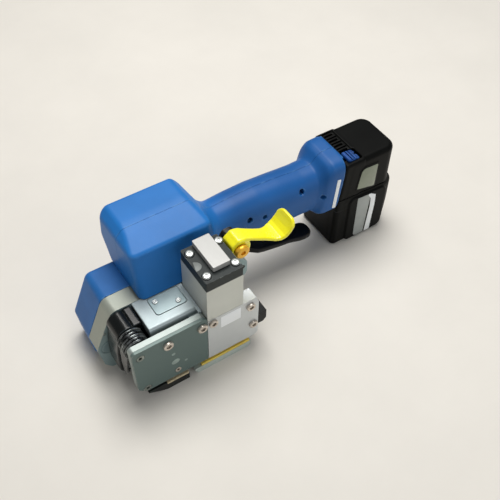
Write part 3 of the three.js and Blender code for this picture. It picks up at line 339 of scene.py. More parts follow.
def lathe(profile, axis, centre, seg=32):
    """Solid of revolution; profile [(r, h)], first and last on the axis. centre gives the two other coordinates."""
    V, F = [], []
    rings = []
    for r, h in profile:
        if r < 1e-6:
            V.append((0, 0, h)); rings.append([len(V) - 1])
        else:
            st = len(V)
            for i in range(seg):
                t = 2 * math.pi * i / seg
                V.append((r * math.cos(t), r * math.sin(t), h))
            rings.append(list(range(st, st + seg)))
    for a, b in zip(rings[:-1], rings[1:]):
        for i in range(seg):
            j = (i + 1) % seg
            if len(a) == 1 and len(b) == 1:
                continue
            if len(a) == 1:
                F.append((a[0], b[j], b[i]))
            elif len(b) == 1:
                F.append((a[i], a[j], b[0]))
            else:
                F.append((a[i], a[j], b[j], b[i]))
    V = np.array(V, float)
    return place(V, axis, centre), F


def place(V, axis, centre):
    """Turns a mesh made along +Z to stand along another axis, pointing the given way."""
    x, y, z = V[:, 0], V[:, 1], V[:, 2]
    if axis == "z":
        return np.stack([x + centre[0], y + centre[1], z], 1)
    if axis == "-y":      # local +Z points to -Y
        return np.stack([x + centre[0], -z, y + centre[1]], 1)
    if axis == "y":
        return np.stack([-x + centre[0], z, y + centre[1]], 1)
    if axis == "x":
        return np.stack([z, x + centre[0], y + centre[1]], 1)


def socket_screw(name, node, axis, c, face, R, H, hexr, shank_r, L, mat, dome=0.35, turn=0.3, deep=0.38):
    """Socket-head screw with a real hexagon socket. face = seat position along the axis direction."""
    seg = 36
    V, F = [], []
    def ring(r, h, fn=None):
        st = len(V)
        for i in range(seg):
            t = 2 * math.pi * i / seg + turn
            rr = r if fn is None else fn(t - turn)
            V.append((rr * math.cos(t), rr * math.sin(t), h))
        return list(range(st, st + seg))
    hexf = lambda s: (lambda t: s * hexr / math.cos(((t + math.pi / 6) % (math.pi / 3)) - math.pi / 6))
    b = 0.12 * H + 0.12
    rows = [ring(shank_r, -L + 0.3), ring(shank_r, 0.02), ring(R - 0.15, 0.02), ring(R, 0.2), ring(R, H - b * 1.4), ring(R - b * 0.35, H - b * 0.45), ring(R - b, H - 0.02),
            ring(R - b * 1.8, H + dome * 0.3), ring(0, H + dome * 0.35, hexf(1.16)), ring(0, H + dome * 0.1, hexf(1.03)), ring(0, H - 0.3, hexf(1.0)), ring(0, H * (1 - deep * 1.5), hexf(0.98)), ring(0, H * (1 - deep * 1.72), hexf(0.55))]
    bottom = len(V); V.append((0, 0, -L)); tip = len(V); V.append((0, 0, H * (1 - deep * 1.95)))
    for a, d in zip(rows[:-1], rows[1:]):
        for i in range(seg):
            j = (i + 1) % seg
            F.append((a[i], a[j], d[j], d[i]))
    for i in range(seg):
        j = (i + 1) % seg
        F.append((bottom, rows[0][j], rows[0][i])); F.append((rows[-1][i], rows[-1][j], tip))
    V = np.array(V, float)
    if axis == "-y":
        V[:, 2] += -face
    else:
        V[:, 2] += face
    P = place(V, axis, c)
    ob = to_object(name, P, F, mat, smooth=True)
    smooth_by_angle(ob, 38)
    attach(ob, "tool_body")
    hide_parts(node)
    return ob


def smooth_by_angle(ob, deg):
    """Marks edges sharper than deg, and smooths the rest."""
    import bmesh
    bm = bmesh.new(); bm.from_mesh(ob.data)
    for e in bm.edges:
        if len(e.link_faces) == 2:
            e.smooth = e.calc_face_angle(0) < math.radians(deg)
    for fc in bm.faces:
        fc.smooth = True
    bm.to_mesh(ob.data); bm.free()


def bevel(ob, w, seg=3, ang=32):
    m = ob.modifiers.new("edge_round", "BEVEL")
    m.width = w * MM; m.segments = seg; m.limit_method = "ANGLE"; m.angle_limit = math.radians(ang)
    m.use_clamp_overlap = True; m.harden_normals = False
    return m


def cad(node, mat, w=0.4, seg=2, ang=32):
    """A CAD node that stays, with its own finish and rounded edges."""
    o = nodes[node]
    for sl in o.material_slots:
        sl.material = mat
    if not o.material_slots:
        o.data.materials.append(mat)
    me = o.data
    if me.has_custom_normals:
        bpy.context.view_layer.objects.active = o
        for x in bpy.context.selected_objects:
            x.select_set(False)
        o.select_set(True)
        bpy.ops.mesh.customdata_custom_splitnormals_clear()
    if w > 0:
        wm = o.modifiers.new("weld", "WELD"); wm.merge_threshold = 1e-6
        bevel(o, w, seg, ang)
    g = o.modifiers.new("normals", "WEIGHTED_NORMAL"); g.keep_sharp = True; g.weight = 60
    me.polygons.foreach_set("use_smooth", [True] * len(me.polygons))
    return o


# ------------------------------------------------------------------ camera, light, floor
def camera():
    az, el, roll = math.radians(-34.42), math.radians(49.56), math.radians(1.71)
    back = Vector((math.sin(az) * math.cos(el), -math.cos(az) * math.cos(el), math.sin(el)))
    fwd = -back
    right = fwd.cross(Vector((0, 0, 1))).normalized()
    up = right.cross(fwd)
    r = right * math.cos(roll) + up * math.sin(roll)
    u = -right * math.sin(roll) + up * math.cos(roll)
    cam = bpy.data.cameras.new("camera")
    cam.sensor_width = 36.0
    cam.lens = 784 / 500 * 36.0
    cam.clip_start = 0.01
    o = bpy.data.objects.new("camera", cam)
    scene.collection.objects.link(o)
    m = Matrix((r, u, back)).transposed().to_4x4()
    m.translation = Vector((-0.2018, -0.3838, 0.6590))
    o.matrix_world = m
    scene.camera = o


camera()


def area(name, loc, target, sx, sy, power, color):
    l = bpy.data.lights.new(name, "AREA")
    l.shape = "RECTANGLE"; l.size = sx; l.size_y = sy; l.energy = power; l.color = color
    o = bpy.data.objects.new(name, l)
    scene.collection.objects.link(o)
    d = Vector(target) - Vector(loc)
    o.rotation_euler = d.to_track_quat("-Z", "Y").to_euler()
    o.location = loc
    return o


area("key", (0.30, 0.42, 1.45), (0.08, 0.03, 0.03), 0.9, 0.9, 22, (1.0, 0.985, 0.96))
area("fill", (0.35, -1.35, 0.75), (0.05, 0.03, 0.05), 1.3, 0.9, 5.5, (0.96, 0.98, 1.0))
area("left", (-1.3, -0.25, 0.65), (0.0, 0.0, 0.05), 0.9, 0.8, 1.2, (1.0, 0.97, 0.93))

world = bpy.data.worlds.new("world") if not scene.world else scene.world
scene.world = world
world.use_nodes = True
bg = world.node_tree.nodes.get("Background")
bg.inputs["Color"].default_value = (0.92, 0.93, 0.95, 1)
bg.inputs["Strength"].default_value = 0.20
scene.view_settings.view_transform = "Standard"

floor_mat = surf("pale_floor", lin(228, 224, 216), rough=0.7, var=0.03, var_scale=7, grain=0.25, grain_scale=260, grain_depth=0.0002, spec=0.3)
fl = to_object("floor", [(-1600, -1600, -0.02), (2000, -1600, -0.02), (2000, 2000, -0.02), (-1600, 2000, -0.02)], [(0, 1, 2, 3)], floor_mat, smooth=False)

# ------------------------------------------------------------------ housing and handle
BODY_Y = 64.0
grip_rows = smooth_table([
    # x, z centre, half width, half height, squareness
    [14, 88, 22, 20, 2.6], [26, 91, 25.4, 27.5, 2.8], [36, 91.2, 25.6, 29.6, 2.8], [46, 89.5, 23.6, 27.6, 2.4], [57, 88.2, 22.6, 26.2, 2.3],
    [80, 88.5, 23.2, 27.8, 2.3], [105, 88, 23.6, 28.8, 2.3], [132, 86.5, 23.6, 28.4, 2.3], [158, 85, 23.0, 27.2, 2.4],
    [172.0, 85, 22.9, 27.2, 2.5], [175.2, 85.8, 24.6, 29.0, 2.9], [179, 87.6, 27.4, 32.4, 4.2], [184, 88.7, 28.2, 33.9, 5.0], [212, 88.9, 28.3, 34.1, 5.4]], 0.9)


def grip_d(X, Y, Z, o=0.0):
    lean = np.clip((X - 150) / 22, 0, 1)
    z0, a, b, n = grip_rows(X - lean * (0.13 * (Z - 88) - 0.02 * (64 - Y)) - (5.0 if o else 0))
    a = a - o; b = b - o
    u = np.abs((Y - BODY_Y) / a); v = np.abs((Z - z0) / b)
    k = (u ** n + v ** n + 1e-12) ** (1 / n)
    return (k - 1) * np.minimum(a, b)


hl = line_dist(-42.2, 82.5, (-55.5, 0.2))
hr = line_dist(40.2, 82.5, (47.5, -2.6))
cl = line_dist(-33.2, 138.0, (-9.6, 9.4))
cr = line_dist(33.6, 138.0, (10.0, 9.0))
hn = line_dist(22.2, 82.5, (-47.5, 12.4))
hf = line_dist(105.8, 82.5, (47.5, 5.6))
rn = line_dist(64.0, 138.0, (-7.4, 28.0))
rf = line_dist(64.0, 138.0, (0.4, 31.0))
ny = line_dist(31.9, 131.2, (-9.0, 8.2))


def house_d(X, Y, Z, o=0.0, r=2.3):
    q = [hl(X, Z) + o, hr(X, Z) + o, cl(X, Z) + o, cr(X, Z) + o, hn(Y, Z) + o, hf(Y, Z) + o, rn(Y, Z) + o, rf(Y, Z) + o, ny(Y, Z) + o]
    # the upright corners are turned to a larger radius
    side = rnd([q[0], q[1], q[4], q[5]], 7.0)
    return rnd([side, q[2], q[3], q[6], q[7], q[8]], max(r - o, 1.2))


def skirt_d(X, Y, Z, o=0.0):
    return rnd([-41.8 + o - X, X - 40 + o, Y - 102 + o, 44.9 - (9 if o else 0) - Y, 30 + o - Z, ((X - 30) * 8 - (Z - 30) * 8) / 11.3 - 3 + o, Z - 92], 4.0)


def shell_d(X, Y, Z):
    def whole(o):
        h = smax(house_d(X, Y, Z, o), (82.6 + (2.2 if o else 0)) - Z, 0.8)
        g = smax(grip_d(X, Y, Z, o), 22 - X, 1)
        s = skirt_d(X, Y, Z, o)
        f = smin(smin(h, g, 21.0 if not o else 10.0), s, 1.2)
        # the lower far corner of the hood draws in
        return smax(f, ((Y - 98) * 17.5 - (Z - 100) * 13) / 21.8 - np.maximum(X + 43, 0) * 0.55 + o, 5.0)
    out = whole(0.0)
    inn = whole(2.8)
    f = smax(out, X - (198.0 + np.clip(Z - 88, -30, 40) * 0.11), 1.6)
    # tongue over the battery
    f = smin(f, rnd([190 - X, X - 205.6, 48.0 - Y, Y - 87.0, 114.9 - Z, Z - (120.2 - np.maximum(X - 199, 0) * 0.12)], 1.2), 1.0)
    f = smax(f, -np.maximum(smax(inn, X - 230, 1.0), np.where(X > 196, Z - 114.9, -50)), 0.6)
    # room for the main frame and the belt window
    fr = poly2(X, Z, [(-80, -40), (-80, 82.45), (-43.4, 82.45), (-39, 80.4), (60.5, 80.4), (76.6, 62.4), (76.6, 45), (60, -40)])
    f = smax(f, -np.maximum(fr, Y - 44.9), 0.5)
    bw = np.maximum.reduce([-46 - X, X + 36, 40 - Y, Y - 62, 34 - Z, Z - 81.8])
    f = smax(f, -bw, 0.5)
    bt = np.maximum.reduce([74 - X, X - 96, 57.3 - Y, Y - 71.2, 50 - Z, Z - 68])
    f = smax(f, -bt, 0.5)
    f = smax(f, -np.maximum(np.hypot(X - 14, Z - 104) - 5, np.abs(Y - 27) - 13), 0.5)
    # screw wells in the near side of the handle
    for x, z in ((89, 98), (152, 101)):
        d = np.hypot(X - x, Z - z)
        boss = np.maximum(np.maximum(d - 4.6, np.maximum(44.5 - Y, Y - 83.5)), out + 0.6)
        f = smin(f, boss, 0.5)
        f = smax(f, -np.maximum(d - 3.1, Y - 56), 0.6)
        f = smax(f, -np.maximum(d - 1.7, np.maximum(50 - Y, Y - 72)), 0.3)
    for x, z, y in ((106, 94, 46.0), (176.5, 86, 42.0)):
        d = np.hypot(X - x, Z - z)
        boss = np.maximum(d - 4.4, np.maximum(38.5 - Y, Y - (y + 3))) if x < 150 else np.maximum(d - 4.6, np.maximum(39.0 - Y, Y - (y + 2.2)))
        f = smin(f, np.maximum(boss, out + 0.4), 0.6)
        f = smax(f, -np.maximum(d - 2.6, Y - y), 0.5)
    return f


H_HOUSE = 1.25
P, Q = iso(shell_d, (-50, 18, 26), (208, 109, 142), H_HOUSE)


def split(P, Q, name, near):
    import bmesh
    me = bpy.data.meshes.new(name)
    me.from_pydata((P * MM).tolist(), [], Q.tolist())
    bm = bmesh.new(); bm.from_mesh(me)
    y = (BODY_Y - 0.16 if near else BODY_Y + 0.16) * MM
    r = bmesh.ops.bisect_plane(bm, geom=bm.verts[:] + bm.edges[:] + bm.faces[:], plane_co=(0, y, 0), plane_no=(0, 1, 0),
                               clear_outer=near, clear_inner=not near, dist=1e-7)
    edges = [e for e in bm.edges if e.is_boundary and abs(e.verts[0].co.y - y) < 1e-6 and abs(e.verts[1].co.y - y) < 1e-6]
    bmesh.ops.triangle_fill(bm, use_beauty=True, use_dissolve=False, edges=edges, normal=(0, 1 if near else -1, 0))
    bmesh.ops.recalc_face_normals(bm, faces=bm.faces[:])
    for fc in bm.faces:
        fc.smooth = True
    for e in bm.edges:
        if len(e.link_faces) == 2 and e.calc_face_angle(0) > math.radians(50):
            e.smooth = False
    bm.to_mesh(me); bm.free()
    ob = bpy.data.objects.new(name, me)
    scene.collection.objects.link(ob)
    me.materials.append(M["blue"])
    return ob


for nm, near in (("housing_near", True), ("housing_far", False)):
    ob = split(P, Q, nm + "_shell", near)
    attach(ob, "tool_body"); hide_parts(nm)


def solid(name, node, body, f, lo, hi, h, mat, newton=3, sharp=None):
    P, Q = iso(f, lo, hi, h, newton)
    ob = to_object(name, P, Q.tolist(), mat)
    if sharp:
        smooth_by_angle(ob, sharp)
    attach(ob, body)
    for n in ([node] if isinstance(node, str) else node or []):
        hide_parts(n)
    return ob


# ------------------------------------------------------------------ belt cover
COVER = [(-71.5, 82.2), (-90.6, 36), (-87, 6), (-80, 2.5), (-36, 2.5), (-36, 82.2)]


def round_poly(pts, radii, seg=6):
    out = []
    n = len(pts)
    for i in range(n):
        p = np.array(pts[i], float); r = radii[i]
        if r <= 0:
            out.append(tuple(p)); continue
        a = np.array(pts[i - 1], float) - p; a /= np.linalg.norm(a)
        b = np.array(pts[(i + 1) % n], float) - p; b /= np.linalg.norm(b)
        half = math.acos(np.clip(a @ b, -1, 1)) / 2
        c = p + (a + b) / np.linalg.norm(a + b) * r / math.sin(half)
        d = r / math.tan(half)
        s = p + a * d - c; e = p + b * d - c
        t0 = math.atan2(s[1], s[0]); dt = math.atan2(e[1], e[0]) - t0
        dt = (dt + math.pi) % (2 * math.pi) - math.pi
        for k in range(seg + 1):
            t = t0 + dt * k / seg
            out.append((c[0] + r * math.cos(t), c[1] + r * math.sin(t)))
    return out


COVER_R = round_poly(COVER, [9, 8, 7, 3, 0, 0])


def cover_d(X, Y, Z):
    p = poly2(X, Z, COVER_R) + np.clip(Y - 45, 0, 60) * 0.045
    out = rnd([p, Y - 83.0], 4.2)
    out = np.maximum(out, 44.9 - Y)
    inn = np.maximum(p + 2.7, Y - 80.2)
    f = smax(out, -inn, 0.5)
    return smax(f, X + 41.2, 0.5)


solid("belt_cover_shell", "belt_cover", "tool_body", cover_d, (-95, 43.5, 0), (-40, 85.5, 84), 1.1, M["blue_cover"], sharp=50)

# ------------------------------------------------------------------ rocker
FRONT = round_poly([(-79.5, 17.5), (-79.3, 48), (-77.0, 68), (-66, 66), (-52.2, 60), (-52.2, 16), (-68, 15.6)], [9, 6, 3, 1, 1, 1, 2])
ARM = round_poly([(-70, 24), (-70, 60), (-56, 60), (-46, 51), (-26, 46), (-19, 33), (-26, 20), (-44, 18), (-56, 16)], [1, 1, 3, 8, 8, 8, 8, 4, 1])
WALL_P = round_poly([(-79.5, 22), (-79.3, 48), (-77.0, 68), (-72, 66), (-75.6, 56), (-76.4, 50), (-76.4, 28), (-70, 19), (-73, 15.9)], [10, 6, 2, 1, 2, 2, 4, 1, 1])


def rocker_d(X, Y, Z):
    body = rnd([poly2(X, Z, FRONT), 3.5 - Y, Y - 25.4], 1.6)
    arm = rnd([poly2(X, Z, ARM), 3.5 - Y, Y - 17.2], 1.2)
    f = smin(body, arm, 1.5)
    hubd = np.hypot(X + 66, Z - 70)
    drum = rnd([hubd - 11.4, 3.1 - Y, Y - 25.4], 0.7)
    f = smin(f, drum, 1.0)
    pad = rnd([-60.2 - X, X + 52.2, 3.2 - Y, Y - 25.4, 58 - Z, Z - 81.4], 0.9)
    f = smin(f, pad, 0.6)
    f = smin(f, rnd([hubd - 9.1, -15.3 - Y, Y - 8], 0.9), 0.8)
    wall = rnd([poly2(X, Z, WALL_P), -15.3 - Y, Y - 6.0, (13 - Z + (5 - Y) * 1.52) / 1.82, 32.5 - Z + np.maximum(Y + 9, 0) * 3], 1.2)
    f = smin(f, wall, 1.2)
    f = smax(f, -(np.hypot(X + 62, Z - 42) - 4.3), 0.4)
    f = smax(f, -(np.hypot(X + 33, Z - 32) - 4.3), 0.4)
    return f


solid("rocker_casting", "rocker", "rocker_set", rocker_d, (-82, -17, 13), (-16, 27.5, 84), 0.85, M["black_cast"], sharp=55)

# ------------------------------------------------------------------ torsion spring
def sweep(path, r, seg=14):
    path = np.array(path, float)
    T = np.gradient(path, axis=0); T /= np.linalg.norm(T, axis=1, keepdims=True)
    nrm = np.cross(T[0], [0, 1, 0.01]); nrm /= np.linalg.norm(nrm)
    V, F = [], []
    for i, p in enumerate(path):
        nrm = nrm - T[i] * (nrm @ T[i]); nrm /= np.linalg.norm(nrm)
        b = np.cross(T[i], nrm)
        rr = r * (0.55 if i in (0, len(path) - 1) else 1.0)
        for k in range(seg):
            t = 2 * math.pi * k / seg
            V.append(p + rr * (nrm * math.cos(t) + b * math.sin(t)))
    n = len(path)
    for i in range(n - 1):
        for k in range(seg):
            a = i * seg + k; b2 = i * seg + (k + 1) % seg
            F.append((a, b2, b2 + seg, a + seg))
    F.append(tuple(range(seg))[::-1]); F.append(tuple((n - 1) * seg + k for k in range(seg)))
    return np.array(V), F


turns, r0 = 4.6, 11.1
ts = np.linspace(0, turns, int(turns * 44))
path = [(-66 + r0 * math.cos(2 * math.pi * t + 0.3), 1.1 - 3.3 * t, 70 + r0 * math.sin(2 * math.pi * t + 0.3)) for t in ts]
V, F = sweep(path, 1.5)
ob = to_object("torsion_spring_wire", V, F, M["spring"])
smooth_by_angle(ob, 60)
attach(ob, "rocker_set"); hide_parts("torsion_spring")

# ------------------------------------------------------------------ yellow weld lever
LEV = np.array([[47, 136.2], [54, 135.8], [60, 134.6], [66, 132.2], [72, 129.0], [78, 125.6], [83, 123.4], [88, 123.2], [92.6, 125.6], [96.4, 130.0], [99.4, 135.2], [101.8, 140.2]])
LEV_Y = np.array([[47, 3.8, 8.2], [54, 3.2, 7.8], [60, 0.6, 7.3], [66, -0.8, 7.2], [74, -1.0, 7.4], [80, -0.4, 8.9], [85, -0.2, 11.0], [90, -0.4, 12.4], [95, -0.7, 12.8], [99, -0.9, 12.6], [103.4, -1.0, 11.8]])


def lever_d(X, Y, Z):
    best = np.full(X.shape, 1e9); sx = np.zeros(X.shape); over = np.full(X.shape, -50.0)
    n = len(LEV) - 1
    for i, (a, b) in enumerate(zip(LEV[:-1], LEV[1:])):
        e = b - a
        t = ((X - a[0]) * e[0] + (Z - a[1]) * e[1]) / (e @ e)
        t = np.clip(t, 0, 1 if i < n - 1 else 3)
        d = np.hypot(X - a[0] - t * e[0], Z - a[1] - t * e[1])
        m = d < best
        best = np.where(m, d, best); sx = np.where(m, a[0] + t * e[0], sx)
        if i == n - 1:
            over = np.where(m, (t - 1) * math.hypot(*e), -50.0)
    yc = np.interp(sx, LEV_Y[:, 0], LEV_Y[:, 1]); hw = np.interp(sx, LEV_Y[:, 0], LEV_Y[:, 2])
    plan = rnd([np.abs(Y - yc) - hw, over], 7.5)
    f = rnd([best - 1.9, plan], 1.7)
    hd = np.hypot(X - 48, Z - 126)
    ring = rnd([hd - 11.2, -4.4 - Y, Y - 12.0], 1.6)
    f = smin(f, ring, 3.0)
    f = smax(f, -(hd - 6.3), 0.5)
    f = smax(f, 39.3 - X, 0.4)
    f = smax(f, -np.maximum.reduce([9.6 - hd, X - 48, Z - 126]), 0.3)
    return f


solid("weld_lever_shape", "weld_lever", "yellow_lever", lever_d, (35, -21, 112), (109, 18, 148), 0.7, M["yellow"], sharp=60)

V, F = lathe([(0, -19), (4, -19), (4, -12.7), (6, -12.6), (6, 4.9), (6.3, 5.0), (6.9, 5.3), (7.1, 5.9), (7.1, 8.0), (6.8, 8.7), (6.0, 9.2), (4.6, 9.45), (2.6, 9.5), (2.4, 9.3), (2.3, 7.6), (0, 7.4)], "-y", (48, 126), 40)
ob = to_object("hub_bolt", V, F, M["hub"]); smooth_by_angle(ob, 35)
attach(ob, "tool_body"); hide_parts("lever_hub_bolt")

# ------------------------------------------------------------------ rocker lever
RL = np.array([[70, 56], [80, 54], [92, 49.5], [108, 45], [126, 41.6], [145, 39], [158, 37.4]])


def rlever_d(X, Y, Z):
    best = np.full(X.shape, 1e9); sx = np.zeros(X.shape)
    for a, b in zip(RL[:-1], RL[1:]):
        e = b - a
        t = np.clip(((X - a[0]) * e[0] + (Z - a[1]) * e[1]) / (e @ e), 0, 1)
        d = np.hypot(X - a[0] - t * e[0], Z - a[1] - t * e[1])
        m = d < best
        best = np.where(m, d, best); sx = np.where(m, a[0] + t * e[0], sx)
    th = np.interp(sx, [70, 92, 126, 163], [4.2, 3.4, 2.9, 2.4])
    ylo = np.interp(X, [70, 88, 99, 138, 150, 163], [45.2, 45.2, 39.6, 38.4, 36.2, 36.2])
    q1 = ylo - Y; q2 = Y - np.interp(X, [70, 130, 150], [57, 57, 57.5])
    ext = np.hypot(np.maximum(X - 158, 0), 0)
    best = np.where(X > 158, np.abs(Z - (37.4 - (X - 158) * 0.12)), best)
    th = np.where(X > 140, th + np.clip((X - 140) / 20, 0, 1) * 0.8, th)
    # free end rounded in plan
    cx, cy, R = 157.8, 46.85, 10.6
    endd = np.where(X > cx, np.hypot(X - cx, Y - cy) - R, -50.0)
    f = rnd([best - th, q1, q2, endd, X - 168], 1.9)
    hub = rnd([np.hypot(X - 70, Z - 55) - 7.4, 45.2 - Y, Y - 57], 0.9)
    f = smin(f, hub, 2.0)
    f = smax(f, -(np.hypot(X - 70, Z - 55) - 3.4), 0.4)
    return smax(f, np.where(X < 80, Z - 60.1, -50), 0.4)


solid("rocker_lever_shape", "rocker_lever", "grip_lever", rlever_d, (60, 34.5, 30), (170, 60, 64), 0.85, M["black_lever"], sharp=60)

# ------------------------------------------------------------------ battery
def batt_x0(Z):
    return 198.4 + np.clip(Z - 88, -30, 40) * 0.11


def batt_d(X, Y, Z):
    x0 = batt_x0(Z)
    side = rnd([x0 - X, X - 267.6, 36 - Y, Y - 92.5], 12.5)
    up = rnd([side, Z - 117, 58 - Z], 5.5)
    low = rnd([x0 - X, X - 273.4 + np.maximum(34 - Z, 0) * 0.06, 36 - Y, Y - 92.5], 13.0)
    dn = rnd([low, Z - 68.5, -Z], 6.5)
    f = smin(up, dn, 2.5)
    # squarer end that meets the handle
    f = smin(f, rnd([x0 - X, X - 226, 36 - Y, Y - 92.5, Z - 117, 52 - Z], 2.6), 0.8)
    f = smin(f, rnd([rnd([x0 - X, X - 226, 36 - Y, Y - 92.5], 5.0), Z - 70, -Z], 4.0), 0.8)
    # raised pads on both broad sides
    pad = rnd([poly2(X, Z, PAD), 33.8 - Y, Y - 94.7], 1.6)
    f = smin(f, pad, 1.0)
    tw = rnd([182.0 - X, X - 206, 47 - Y, Y - 81, 63 - Z, Z - 113], 3.5)
    f = smin(f, np.maximum(tw, 184 - X), 0.8)
    inn = rnd([x0 + 3.4 - X, X - 264.0, 39 - Y, Y - 89.5, Z - 109.2, 3 - Z], 6)
    inn = np.minimum(inn, np.maximum.reduce([np.abs(Y - 64) - 14, 182 - X, X - 208, 66 - Z, Z - 109.2]))
    f = smax(f, -inn, 0.5)
    # parting line of the two case halves
    shell = np.minimum(side, low)
    g = np.maximum(np.abs(Z - (69.6 - (X - 200) * 0.04)) - 0.5, -(shell + 1.0))
    f = smax(f, -g, 0.3)
    # notch under the tongue of the handle
    f = smax(f, -np.maximum.reduce([X - 206.1, 45.0 - Y, Y - 91.5, 114.4 - Z]), 0.3)
    # short ribs along the edge of the roof next to the handle
    for k in range(8):
        y = 58.6 + k * 4.3
        sl = np.maximum.reduce([np.abs(Y - y) - 1.0, 208.0 - X, X - 218.6 - (1.4 if k % 2 else 0), 114.6 - Z])
        f = smax(f, -sl, 0.4)
    # groove behind the ribs, and the recess of the latch
    f = smax(f, -np.maximum.reduce([np.abs(X - 221.4) - 0.5, 45.5 - Y, Y - 90, 116.2 - Z]), 0.3)
    f = smax(f, -rnd([206.4 - X, X - 223.8, 40.0 - Y, Y - 56.8, 112.3 - Z], 1.0), 0.3)
    return f


PAD = round_poly([(211, 1.0), (262, 1.0), (262, 63), (211, 66)], [6, 8, 9, 7])
solid("battery_case_shell", "battery_case", "battery", batt_d, (180, 31, -3), (277, 98, 120.5), 0.95, M["black_case"], sharp=58)


def latch_d(X, Y, Z):
    f = rnd([207.2 - X, X - 221.4 + np.maximum(Y - 50, 0) * 0.25, 41.2 - Y, Y - 55.6, 114.6 - Z, Z - (119.4 - np.clip(X - 212, 0, 12) * 0.17)], 1.9)
    for k in range(3):
        f = smax(f, -np.maximum(np.abs(X - 211.4 - 3.4 * k) - 0.6, 117.4 - Z), 0.7)
    f = smax(f, -(np.hypot(X - 221, Y - 48.5) - 1.8), 0.8)
    return f


solid("battery_latch_key", "battery_latch", "latch", latch_d, (203, 39, 113), (224, 59, 121), 0.45, M["blue_latch"], sharp=60)


def button_d(X, Y, Z):
    f = rnd([75.2 - X, X - 94.8, 58.1 - Y, Y - 69.9, Z - 66, 54.4 + 0.012 * (X - 85) ** 2 * 1.0 - Z], 1.8)
    return f


solid("tension_button_key", "tension_button", "button", button_d, (73, 56, 52), (97, 72, 68), 0.6, M["black_lever"], sharp=60)

# ------------------------------------------------------------------ screws
for k, (x, z) in enumerate(((-41.5, 71.5), (-6, 71))):
    socket_screw("side_screw_%d_head" % (k + 1), "side_screw_%d" % (k + 1), "-y", (x, z), -25.0, 5.0, 2.6, 2.3, 1.95, 9, M["screw"], 0.6, 0.4 + k)
for k, (x, z) in enumerate(((5.6, 70), (46.5, 66), (50, 36))):
    socket_screw("front_screw_%d_head" % (k + 1), "front_screw_%d" % (k + 1), "-y", (x, z), -25.0, 4.6, 2.5, 2.1, 1.95, 8, M["screw"], 0.6, 0.9 * k)
for k, (x, y) in enumerate(((5, 12), (5, -17.5), (34, -17.5), (35, 12))):
    socket_screw("cap_screw_%d_head" % (k + 1), "cap_screw_%d" % (k + 1), "z", (x, y), 128.0, 4.0, 4.2, 1.05, 1.9, 9, M["screw_white"], 0.5, 0.5 * k, 0.10)
for k, (x, y) in enumerate(((-31.5, 15.5), (-12.5, 6))):
    socket_screw("cover_screw_%d_head" % (k + 1), "cover_screw_%d" % (k + 1), "z", (x, y), 82.6, 2.7, 0.9, 1.2, 1.4, 5, M["screw_white"], 0.4, 0.2 + k)


def flush(name, node, c, face, R, hexr, depth, mat, turn):
    seg = 36
    V, F = [], []
    def ring(r, h, hexa=False):
        st = len(V)
        for i in range(seg):
            t = 2 * math.pi * i / seg
            rr = r if not hexa else r / math.cos(((t + math.pi / 6) % (math.pi / 3)) - math.pi / 6)
            V.append((rr * math.cos(t + turn), rr * math.sin(t + turn), h))
        return list(range(st, st + seg))
    rows = [ring(1.9, -6), ring(1.9, -2.4), ring(R - 0.25, -0.5), ring(R, -0.2), ring(R - 0.05, 0.16), ring(R - 0.35, 0.28), ring(hexr * 1.35, 0.26),
            ring(hexr * 1.05, 0.12, True), ring(hexr, -0.25, True), ring(hexr * 0.97, -depth, True)]
    a0 = len(V); V.append((0, 0, -6)); a1 = len(V); V.append((0, 0, -depth - 0.5))
    for a, d in zip(rows[:-1], rows[1:]):
        for i in range(seg):
            j = (i + 1) % seg
            F.append((a[i], a[j], d[j], d[i]))
    for i in range(seg):
        j = (i + 1) % seg
        F.append((a0, rows[0][j], rows[0][i])); F.append((rows[-1][i], rows[-1][j], a1))
    V = np.array(V, float); V[:, 2] += -face
    ob = to_object(name, place(V, "-y", c), F, mat)
    smooth_by_angle(ob, 35)
    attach(ob, "tool_body"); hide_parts(node)
    return ob


flush("side_csk_1_head", "side_countersunk_1", (-69, 72), -25.0, 3.9, 1.6, 1.4, M["screw_dark"], 0.2)
flush("side_csk_2_head", "side_countersunk_2", (-66, 20), -25.0, 3.9, 1.6, 1.4, M["screw_dark"], 0.9)
flush("axle_set_screw_head", "axle_set_screw", (-33.4, 24), -25.0, 3.1, 1.4, 1.4, M["screw"], 0.5)
for k, (x, z) in enumerate(((89, 98), (152, 101))):
    flush("housing_screw_%d_head" % (k + 1), "housing_screw_%d" % (k + 1), (x, z), 53.6, 2.65, 1.15, 1.1, M["screw_dark"], 0.4 * k)

# ------------------------------------------------------------------ machined parts keep their solids
CAD = {
    "base_plate": ("base", 0.5), "front_foot": ("foot", 0.6), "gripper_plate": ("gripper", 0.2), "wear_plate": ("brass", 0.25),
    "side_plate": ("side", 0.9), "side_frame": ("side_frame", 0.6), "tension_head": ("cast", 0.9), "head_cover": ("cover_plate", 0.3),
    "main_frame": ("beige", 0.8), "weld_front_plate": ("alloy_bright", 0.4), "weld_frame": ("alloy", 0.6), "weld_block": ("alloy_lug", 0.5),
    "weld_cap": ("cap", 0.5), "name_block": ("silver", 0.4), "rear_block": ("black_block", 0.8),
    "tension_wheel": ("steel", 0.15), "tension_gear": ("steel", 0.15), "drive_gear": ("steel", 0.15), "drive_shaft": ("steel", 0.3),
    "driven_pulley": ("steel", 0.2), "motor_pulley": ("steel", 0.2), "drive_belt": ("rubber", 0.3), "motor": ("motor", 0.6), "motor_shaft": ("steel", 0.2),
    "eccentric_shaft": ("steel", 0.2), "eccentric_bearing_lower": ("steel", 0.3), "eccentric_bearing_upper": ("steel", 0.3), "welding_shoe": ("steel", 0.3),
    "rocker_lever_pin": ("screw_dark", 0.3), "switch_body": ("black_lever", 0.5), "control_board": ("board", 0.1), "cell_pack": ("wrap", 2.0),
    "contact_block": ("black_lever", 0.5),
}
